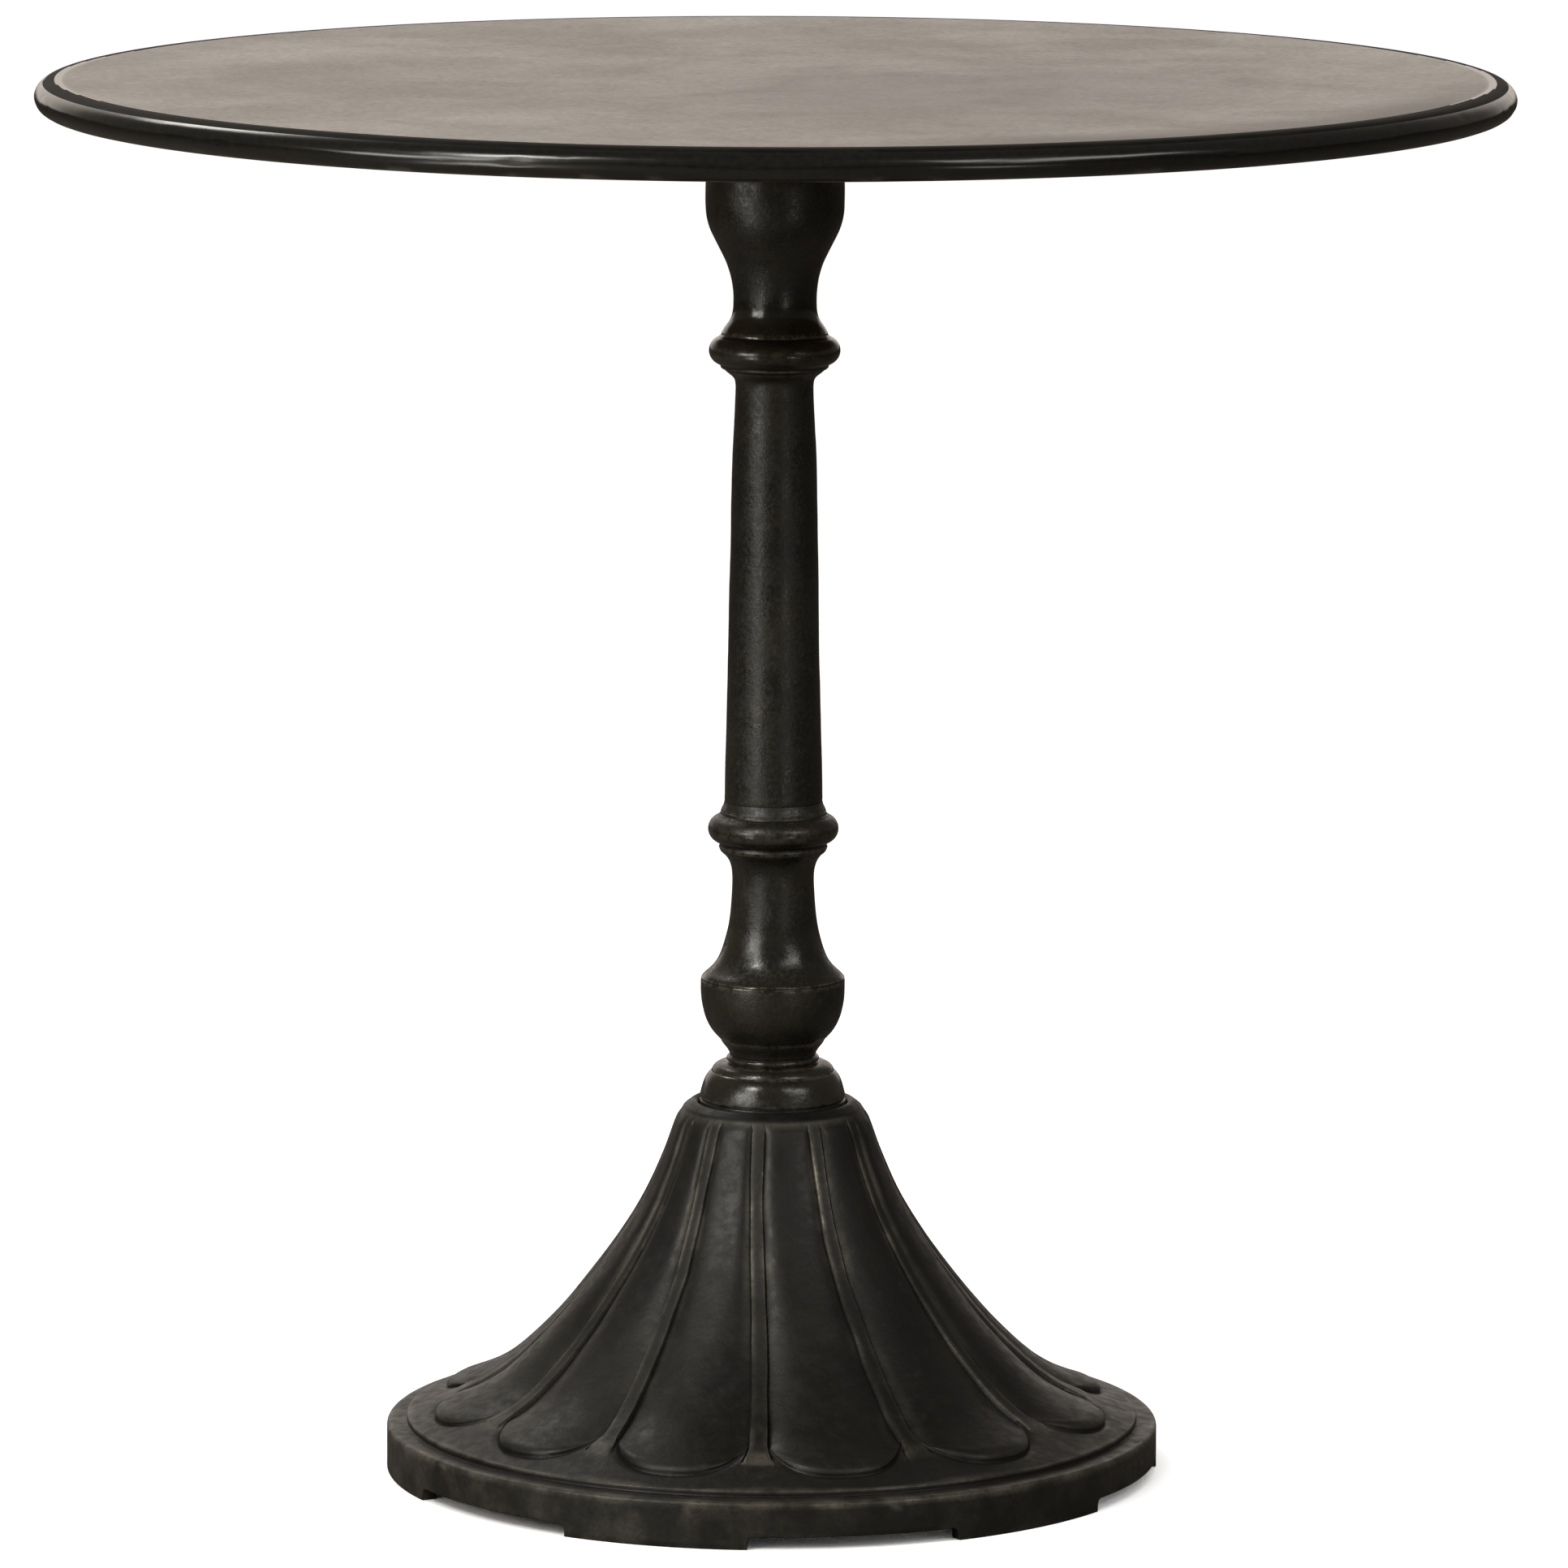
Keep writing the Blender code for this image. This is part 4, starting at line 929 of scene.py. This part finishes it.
def make_sheet():
    """The sheet over the board: flat face, hand-rolled rim, hem turned under and its inner skin."""
    flat = [(radius, TABLE_HEIGHT) for radius in
            (0.0, 0.04, 0.08, 0.12, 0.16, 0.20, 0.24, 0.28, 0.31, 0.335, 0.355, 0.37, 0.378,
             0.3808, 0.3822, 0.3834, 0.3848)]
    rim = [(TOP_RADIUS - RIM_SHOULDER * (1 - math.cos(turn)),
            RIM_CENTRE[1] + RIM_ROUND * math.sin(turn))
           for turn in np.radians(np.linspace(90, 4, 20))] + arc(RIM_CENTRE, RIM_ROUND, 0, -90, 17)
    hem_start = RIM_CENTRE[0] - HEM_WIDTH
    hem = [(radius, HEM_LEVEL) for radius in (0.3885, 0.386, 0.382, 0.377, 0.372)]
    hem += [(hem_start + 0.0004, HEM_LEVEL), (hem_start, HEM_LEVEL + 0.0004),
            (hem_start, HEM_LEVEL + SHEET_THICKNESS)]
    inner = [(RIM_CENTRE[0], HEM_LEVEL + SHEET_THICKNESS)]
    inner += arc(RIM_CENTRE, RIM_ROUND - SHEET_THICKNESS, -80, 90, 8)
    outline = flat + rim + hem + inner + [(0.0, TABLE_HEIGHT - SHEET_THICKNESS)]
    points = ring_points(outline, even_azimuths(TOP_COLUMNS))
    rows = len(outline)
    first, last = len(flat), len(flat) + len(rim)

    # Which way each row faces, in degrees up from outward
    angle = np.zeros(rows)
    along_rim = np.gradient(np.array(rim), axis=0)
    angle[first:last] = np.degrees(np.arctan2(along_rim[:, 0], -along_rim[:, 1]))
    angle[last:] = -90
    angle[:first] = 90
    section = np.zeros((rows, 1))
    section[first:last, 0] = np.cos(np.radians(angle[first:last]))
    hem_rows = np.zeros((rows, 1))
    hem_rows[last:last + 6, 0] = 1.0

    # Hammer waves, kinks and a slow roll only go inward, so the rim stays inside the CAD's
    along = unwound(points)
    belt = np.stack([np.sin(along) * 0.4, np.cos(along) * 0.4,
                     np.repeat(angle[:, None], TOP_COLUMNS, axis=1) * 0.00030], axis=-1)
    waves = 0.80 * value_noise(belt, 0.050, 71) + 0.50 * value_noise(belt, 0.022, 72)
    waves = 0.5 + 0.5 * np.clip(waves, -1, 1)
    kinks = smoothstep(0.35, 0.9, value_noise(belt, 0.013, 73))
    low_half = smoothstep(10, -70, angle)[:, None]
    sway = value_noise(np.stack([np.sin(along), np.cos(along), 0 * along], axis=-1), 0.16, 74)
    roll = np.clip(np.sin(np.radians(2 * angle))[:, None] * sway * 1.6, -1, 1)
    roll = 0.5 + 0.5 * roll
    depth = (section * (0.00060 * waves + 0.00035 * kinks + 0.00060 * roll)
             + 0.00050 * low_half * waves * (section + hem_rows > 0))
    points = points - grid_normals(points) * (depth * (section + hem_rows))[..., None]
    dish = np.zeros((rows, TOP_COLUMNS))
    dish[:first] = TOP_DISH * smoothstep(0.345, 0.378, off_axis(points))[:first] - TOP_DISH
    points[..., 2] += dish * (1 - smoothstep(0.378, 0.3846, off_axis(points)))

    radius = off_axis(points)
    rim_mask = smoothstep(0.3816, 0.3836, radius)
    rim_mask[last + 7:] = 1.0
    scuffed = low_half * (0.6 + 0.4 * value_noise(points, 0.02, 81)) * (section > 0)
    rim_mask = rim_mask * (1 - 0.17 * scuffed)
    front_right = band(6, 26, 62, 92, np.degrees(along))
    patch = ((points[..., 0] - 0.10) / 0.19) ** 2 + ((points[..., 1] + 0.07) / 0.20) ** 2
    dull = np.maximum(0.75 * front_right * smoothstep(0.325, 0.380, radius),
                      0.34 * np.exp(-patch))
    dull = dull * (0.85 + 0.3 * value_noise(points, 0.09, 83)) * (1 - rim_mask)
    rub = value_noise(points, 0.012, 90) + 0.3 * value_noise(points, 0.004, 91)
    rub = smoothstep(0.35, 0.8, rub) * 0.35 * np.exp(-((angle[:, None] + 62) / 14) ** 2)
    wear = np.zeros((rows, TOP_COLUMNS))
    wear[first:last] = rub[first:last]
    sheet = grid_object("top_sheet_fine", points, SHEET,
                        {"rim": rim_mask, "wear": wear, "dull": dull}, close_rows=False,
                        sharp_angle=60.0)

    # A dark matt band of painted shade where the flat turns into the rim
    sheet.data.materials.append(RIM_SHADE_BAND)
    for face in sheet.data.polygons:
        centre = face.center
        away = math.hypot(centre.x, centre.y)
        sideways = math.degrees(math.asin(min(1.0, abs(centre.x) / max(away, 1e-6))))
        line_start = LINE_RADIUS + LINE_SHIFT * float(smoothstep(*LINE_ENDS, sideways))
        if away > line_start and face.normal.z > math.sin(math.radians(LINE_STEEPEST)):
            face.material_index = 1
    return stand_for(sheet, "sheet", "top_sheet")


make_sheet()


def dome(radius, height, steps):
    """Profile of a low domed head, from its middle on top to its edge."""
    return [(radius * math.sin(turn), height * math.cos(turn))
            for turn in np.linspace(0, math.pi / 2, steps)]


def make_tacks():
    """Domed tacks holding the hem to the board, heads down."""
    head_radius, head_height, shank_radius = 0.0030, 0.0007, 0.0008
    for number in range(TACK_COUNT):
        node = f"hem_tack_{number + 1:02d}"
        low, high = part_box(node)
        brim = low.z + head_height
        outline = [(0.0, high.z), (shank_radius * 0.5, high.z - 0.0012),
                   (shank_radius, high.z - 0.0024), (shank_radius, brim)]
        outline += [(radius, brim - rise)
                    for radius, rise in dome(head_radius, head_height, 7)[::-1]]
        points = ring_points(outline, even_azimuths(20))
        knocks = 0.00006 * value_noise(points + number * 0.37, 0.0016, 130 + number)
        heads = (points[..., 2] < brim - 0.00002) & (off_axis(points) > 1e-5)
        points[..., 2] += np.abs(knocks) * heads
        points[..., 0] += (low.x + high.x) / 2
        points[..., 1] += (low.y + high.y) / 2
        tack = grid_object(f"hem_tack_fine_{number + 1:02d}", points, BLUED, close_rows=False)
        stand_for(tack, "tack_steel", node)


make_tacks()


SPIDER_SEAT = 0.7163
SPIDER_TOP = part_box("top_spider")[1].z
SPIDER_ARM = 0.0070
SPIDER_REACH = 0.155
SPIDER_TIP = 0.0120           # radius of an arm's round end
SPIDER_CORNER = 0.0170        # distance from the axis at which two arms meet
SPIDER_FIRST_ARM = 45.0
SCREW_STATIONS = (0.085, 0.140)
SCREW_HOLE = 0.0027


def spider_plan():
    """Plan of the cross: four tapering arms with round ends and eased inner corners."""
    side = [(SPIDER_CORNER + 0.0050, -SPIDER_CORNER - 0.0002), (0.055, -0.0158), (0.100, -0.0139)]
    arm_plan = [(SPIDER_CORNER + 0.0018, -SPIDER_CORNER - 0.0018)] + side
    arm_plan += arc((SPIDER_REACH - SPIDER_TIP, 0.0), SPIDER_TIP, -84, 84, 17)
    arm_plan += [(x, -y) for x, y in reversed(side)]
    plan = []
    for arm in range(4):
        turn = math.radians(SPIDER_FIRST_ARM + 90 * arm)
        for along, across in arm_plan:
            plan.append((along * math.cos(turn) - across * math.sin(turn),
                         along * math.sin(turn) + across * math.cos(turn)))
    return plan


def plug(radius, above, below, columns):
    """A cutter through the spider's top face."""
    return ring_points([(0.0, SPIDER_TOP + above), (radius, SPIDER_TOP + above),
                        (radius, SPIDER_TOP - below), (0.0, SPIDER_TOP - below)],
                       even_azimuths(columns))


def make_spider():
    """The cast spider: a turned hub and four arms with rounded lower edges and drilled holes."""
    hub_radius, foot_radius, pocket_radius, pocket_floor = 0.0235, 0.0335, 0.0168, 0.7282
    cleared = 0.0215              # radius inside which the hub alone stands
    spigot = SPIDER_SEAT - SPIGOT_LENGTH
    outline = [(hub_radius, SPIDER_TOP), (hub_radius, 0.7330)]
    outline += spline(((0.0237, 0.7310), (0.0243, 0.7275), (0.0258, 0.7235), (0.0285, 0.7207),
                       (0.0315, 0.7191)), 0.0008)
    outline += [(foot_radius - 0.0006, 0.7181), (foot_radius, 0.7176),
                (foot_radius, SPIDER_SEAT + 0.0006), (foot_radius - 0.0006, SPIDER_SEAT),
                (SPIGOT_RADIUS, SPIDER_SEAT), (SPIGOT_RADIUS, spigot), (ROD_HOLE_RADIUS, spigot),
                (ROD_HOLE_RADIUS, pocket_floor), (pocket_radius, pocket_floor),
                (pocket_radius, SPIDER_TOP)]
    hub = grid_object("top_spider_fine", ring_points(outline, even_azimuths(64)), COLUMN_IRON)

    plan = spider_plan()
    shape = bmesh.new()
    low = [shape.verts.new((x, y, SPIDER_TOP - SPIDER_ARM)) for x, y in plan]
    high = [shape.verts.new((x, y, SPIDER_TOP)) for x, y in plan]
    under = shape.faces.new(low[::-1])
    shape.faces.new(high)
    for index in range(len(plan)):
        shape.faces.new((low[index - 1], low[index], high[index], high[index - 1]))
    bmesh.ops.bevel(shape, geom=list(under.edges), offset=0.0016, segments=3, affect="EDGES",
                    profile=0.5)
    cross = add_shape("spider_cross", shape)
    cut(cross, grid_object("spider_pocket", plug(cleared, 0.002, 0.009, 64), COLUMN_IRON,
                           close_rows=False))
    cut(hub, cross, "UNION")
    for arm in range(4):
        turn = math.radians(SPIDER_FIRST_ARM + 90 * arm)
        for station in SCREW_STATIONS:
            hole = plug(SCREW_HOLE, 0.002, 0.010, 24)
            hole[..., 0] += station * math.cos(turn)
            hole[..., 1] += station * math.sin(turn)
            cut(hub, grid_object("spider_hole", hole, COLUMN_IRON, close_rows=False))
    if not hub.data.materials:
        hub.data.materials.append(COLUMN_IRON)
    finish_mesh(hub, 35.0)
    stand_for(hub, "column_iron", "top_spider")


make_spider()


def make_spider_screws():
    """Slotted pan-head wood screws, threaded in the board."""
    for number in range(8):
        node = f"spider_screw_{number + 1}"
        low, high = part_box(node)
        head, shank, height, bearing = 0.0045, 0.0022, 0.0028, 0.0009
        under = low.z + height
        thread_top = high.z - 0.0034
        outline = [(0.0, high.z), (0.0006, high.z - 0.0010)]
        outline += [(0.0007 + 0.0014 * share, high.z - 0.0010 - 0.0025 * share)
                    for share in (0.4, 0.8)]
        outline += [(shank * 0.86, level)
                    for level in np.arange(thread_top, under + 0.0050, -0.00030)]
        outline += [(shank, under + 0.0046), (shank, under + 0.0003), (shank + 0.0003, under),
                    (head - 0.0003, under), (head, under - 0.0003), (head, under - bearing)]
        outline += [(head * math.cos(turn), under - bearing - (height - bearing) * math.sin(turn))
                    for turn in np.linspace(0.25, math.pi / 2, 9)]
        points = ring_points(outline, even_azimuths(32))
        level = points[..., 2]
        in_thread = (level <= thread_top + 1e-6) & (level >= under + 0.0049)
        phase = np.mod(level / 0.0018 + unwound(points) / (2 * math.pi), 1.0)
        swell = 1 + 0.16 * in_thread * (1 - np.abs(phase * 2 - 1) * 2).clip(-0.2, 1)
        points[..., :2] *= swell[..., None]
        screw = grid_object(f"spider_screw_fine_{number + 1}", points, ZINC, close_rows=False)
        shape = bmesh.new()
        bmesh.ops.create_cube(shape, size=1.0)
        bmesh.ops.scale(shape, vec=Vector((0.0011, 0.0120, 0.0024)), verts=shape.verts)
        slot_place = (Matrix.Translation((0, 0, low.z))
                      @ Matrix.Rotation(0.7 + number * 1.9, 4, "Z"))
        bmesh.ops.transform(shape, matrix=slot_place, verts=shape.verts)
        cut(screw, add_shape("slot", shape))
        finish_mesh(screw, 35.0)
        screw.data.transform(Matrix.Translation(((low.x + high.x) / 2, (low.y + high.y) / 2, 0)))
        stand_for(screw, "zinc_steel", node)


make_spider_screws()


def threaded(points, low, high, depth, pitch=0.0020):
    """Press a V thread into the outside rows between two heights."""
    phase = np.mod(points[..., 2] / pitch + unwound(points) / (2 * math.pi), 1.0)
    groove = depth * (1 - np.abs(phase * 2 - 1))
    fade = band(low, low + 0.0006, high - 0.0010, high, points[..., 2])
    radius = off_axis(points)
    shrink = 1 - fade * groove / np.maximum(radius, 1e-6)
    points[..., :2] *= np.where(radius > 1e-5, shrink, 1)[..., None]


def make_rod():
    """The tie rod: a plain bar with a cut thread at each end."""
    low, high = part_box("tie_rod")
    radius, thread_length, depth = 0.0080, 0.0260, 0.0010
    levels = list(np.arange(high.z - 0.0012, high.z - thread_length, -0.00033))
    levels += [high.z - thread_length - 0.001, 0.60, 0.45, 0.30, low.z + thread_length + 0.001]
    levels += list(np.arange(low.z + thread_length, low.z + 0.0012, -0.00033))
    outline = [(0.0, high.z), (radius - 0.0012, high.z)] + [(radius, level) for level in levels]
    outline += [(radius - 0.0012, low.z), (0.0, low.z)]
    points = ring_points(outline, even_azimuths(40))
    threaded(points, low.z + 0.0004, low.z + thread_length + 0.0004, depth)
    threaded(points, high.z - thread_length - 0.0004, high.z - 0.0004, depth)
    rod = grid_object("tie_rod_fine", points, ZINC, close_rows=False, sharp_angle=50.0)
    stand_for(rod, "zinc_steel", "tie_rod")


make_rod()


def make_nut(node):
    """A chamfered hexagon nut with a countersunk bore."""
    low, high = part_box(node)
    flats, bore = 0.012, 0.0084
    corner = flats / math.cos(math.pi / 6)
    chamfer = 0.0016
    azimuths = even_azimuths(96)
    from_flat = np.radians(np.mod(azimuths, 60.0) - 30.0)
    hexagon = flats / np.cos(from_flat)
    outer = []
    steps = (0.0, 0.0003, 0.0007, 0.0011, chamfer)
    for level in ([high.z - step for step in steps] + [(low.z + high.z) / 2]
                  + [low.z + step for step in reversed(steps)]):
        inset = min(level - low.z, high.z - level)
        cone = flats - 0.0003 + (corner - flats + 0.0003) * min(1.0, inset / chamfer)
        outer.append((np.minimum(hexagon, cone) if inset <= chamfer else hexagon, level))
    bores = [(bore + 0.0008, low.z), (bore, low.z + 0.0008), (bore, high.z - 0.0008),
             (bore + 0.0008, high.z)]
    radius = np.array([row for row, _ in outer] + [np.full(96, row) for row, _ in bores])
    points = turned(radius, azimuths, np.array([level for _, level in outer + bores])[:, None])
    nut = grid_object(node + "_fine", points, ZINC, sharp_angle=22.0)
    stand_for(nut, "zinc_steel", node)


make_nut("rod_top_nut")
make_nut("rod_bottom_nut")


def make_washer(node, split=False):
    """A stamped washer with softened edges, or a split spring washer with a slanting gap."""
    low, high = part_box(node)
    outer, inner, soft = (high.x - low.x) / 2, ROD_HOLE_RADIUS, 0.0004
    top, foot, edge = high.z, low.z, soft * 0.3
    outline = [(inner + soft, top), (outer - soft, top), (outer - edge, top - edge),
               (outer, top - soft), (outer, foot + soft), (outer - edge, foot + edge),
               (outer - soft, foot), (inner + soft, foot), (inner, foot + soft),
               (inner, top - soft)]
    if not split:
        washer = grid_object(node + "_fine", ring_points(outline, even_azimuths(72)), ZINC,
                             sharp_angle=30.0)
        return stand_for(washer, "zinc_steel", node)
    azimuths = np.linspace(4.0, 352.0, 70)
    points = ring_points(outline, azimuths)
    slant = (points[..., 2] - (foot + top) / 2) / (top - foot)
    ends = np.zeros(len(azimuths))
    ends[[0, -1]] = 1.0
    points = turned(off_axis(points), azimuths[None, :] + 9.0 * slant * ends, points[..., 2])
    rows, columns = points.shape[:2]
    faces = [(row * columns + column, ((row + 1) % rows) * columns + column,
              ((row + 1) % rows) * columns + column + 1, row * columns + column + 1)
             for row in range(rows) for column in range(columns - 1)]
    faces += [tuple(row * columns for row in range(rows)),
              tuple(row * columns + columns - 1 for row in range(rows - 1, -1, -1))]
    washer = add_mesh(node + "_fine", points.reshape(-1, 3), faces, ZINC, sharp_angle=30.0)
    return stand_for(washer, "zinc_steel", node)


make_washer("rod_top_washer")
make_washer("rod_bottom_washer")
make_washer("rod_lock_washer", split=True)

# The plywood board keeps its CAD shape, under the sheet
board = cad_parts["top_core"]
board.data.materials.clear()
board.data.materials.append(PLYWOOD)


# Floor, light and camera -------------------------------------------------------------------------
FLOOR_GLOW = 0.85
FLOOR_SHADE_REACH = 0.18      # how far the contact shade spreads from the feet
FLOOR_BOUNCE = (0.20, 0.185, 0.17, 1.0)
FLOOR_EXTENT = 60.0
WORLD_DEPTH = (("From Min", 0.78), ("From Max", 0.95), ("To Min", 0.16), ("To Max", 1.13))
WORLD_BRIGHT_SIDE = (-0.09, 0.995, 0.0)
WORLD_WARMTH = (1.0, 0.90, 0.81, 1.0)
WHITE = (1.0, 1.0, 1.0, 1.0)


def make_floor():
    """A pale floor whose glow fades near the table into a painted contact shadow. It throws less
    light on the table than it shows, like a studio with flags.
    """
    f = Finish("studio_floor")
    tone = f.noise(1.2, 3.0, 0.5)
    f.surface(f.mix(tone, (0.90, 0.90, 0.90), (0.93, 0.93, 0.93)), 0.85, 0.0,
              Specular_IOR_Level=0.1, Emission_Color=WHITE)
    shade = f.node("ShaderNodeAmbientOcclusion", samples=4)
    shade.inputs["Distance"].default_value = FLOOR_SHADE_REACH
    f.put(f.shader.inputs["Emission Strength"],
          f.maths("MULTIPLY", f.spread(shade.outputs["AO"], 0.22, 0.56), FLOOR_GLOW))
    dim = f.node("ShaderNodeBsdfDiffuse")
    dim.inputs["Color"].default_value = FLOOR_BOUNCE
    f.show_apart(dim.outputs["BSDF"], f.shader.outputs["BSDF"], "Material Output")
    shape = bmesh.new()
    bmesh.ops.create_circle(shape, cap_ends=True, segments=96, radius=FLOOR_EXTENT)
    floor = add_shape("studio_floor", shape, f.material)


def make_world():
    """Pale to look at. As a light it is warm, bright low down behind and dim in front and above."""
    scene.world = bpy.data.worlds.new("studio")
    w = Nodes(scene.world)
    facing = w.node("ShaderNodeVectorMath", operation="DOT_PRODUCT")
    facing.inputs[1].default_value = WORLD_BRIGHT_SIDE
    w.put(facing.inputs[0], w.node("ShaderNodeTexCoord").outputs["Generated"])
    depth = w.node("ShaderNodeMapRange")
    for label, number in WORLD_DEPTH:
        depth.inputs[label].default_value = number
    w.put(depth.inputs["Value"], facing.outputs["Value"])
    glow = w.node("ShaderNodeBackground")
    glow.inputs["Color"].default_value = WORLD_WARMTH
    w.put(glow.inputs["Strength"], depth.outputs["Result"])
    plain = w.tree.nodes["Background"]
    plain.inputs["Color"].default_value = WHITE
    w.show_apart(glow.outputs["Background"], plain.outputs["Background"], "World Output")


make_floor()
make_world()


def softbox(name, azimuth, distance, height, size, power, aim):
    """A soft, slightly warm rectangular light facing the table's axis at a height."""
    data = bpy.data.lights.new(name, "AREA")
    data.shape = "RECTANGLE"
    data.size, data.size_y = size
    data.energy = power
    data.color = (1.0, 0.965, 0.90)
    light = bpy.data.objects.new(name, data)
    turn = math.radians(azimuth)
    light.location = (distance * math.sin(turn), -distance * math.cos(turn), height)
    toward = Vector((0.0, 0.0, aim)) - light.location
    light.rotation_euler = toward.to_track_quat("-Z", "Y").to_euler()
    light.visible_camera = False
    scene.collection.objects.link(light)


# name, azimuth, distance, height, (width, length), power, height aimed at
for light in (
        ("softbox_left", -41.0, 2.3, 1.08, (0.46, 1.0), 10.5, 0.85),
        ("softbox_left_low", -41.0, 2.3, 0.26, (0.46, 0.46), 0.9, 0.40),
        ("softbox_left_far", -55.0, 2.3, 0.92, (0.60, 0.5), 10.0, 0.75),
        ("key_left", -42.0, 2.3, 2.20, (0.60, 0.75), 36.0, 0.45),
        ("back_left", -143.0, 2.3, 2.55, (0.90, 0.60), 14.0, 0.45),
        ("softbox_right", 31.0, 2.5, 0.13, (0.40, 0.34), 2.2, 0.50),
        ("softbox_right_far", 48.0, 2.5, 1.75, (1.10, 0.60), 12.5, 0.75),
        ("key_right", 30.0, 2.5, 2.25, (0.36, 0.60), 6.0, 0.45),
        ("floor_glow_left", -41.0, 1.5, 0.02, (0.35, 1.1), 10.0, 9.0)):
    softbox(*light)

CAMERA_PLACE = (0.0057, -5.75, 1.2882)
CAMERA_TILT = 81.0            # degrees up from straight down
CAMERA_ROLL = 0.177
camera_data = bpy.data.cameras.new("camera")
camera_data.sensor_width = 36.0
camera_data.lens = 246.06
camera_data.clip_end = 200.0
camera = bpy.data.objects.new("camera", camera_data)
camera.matrix_world = (Matrix.Translation(CAMERA_PLACE)
                       @ Matrix.Rotation(math.radians(CAMERA_TILT), 4, "X")
                       @ Matrix.Rotation(math.radians(CAMERA_ROLL), 4, "Z"))
scene.collection.objects.link(camera)
scene.camera = camera
scene.view_settings.view_transform = "Standard"
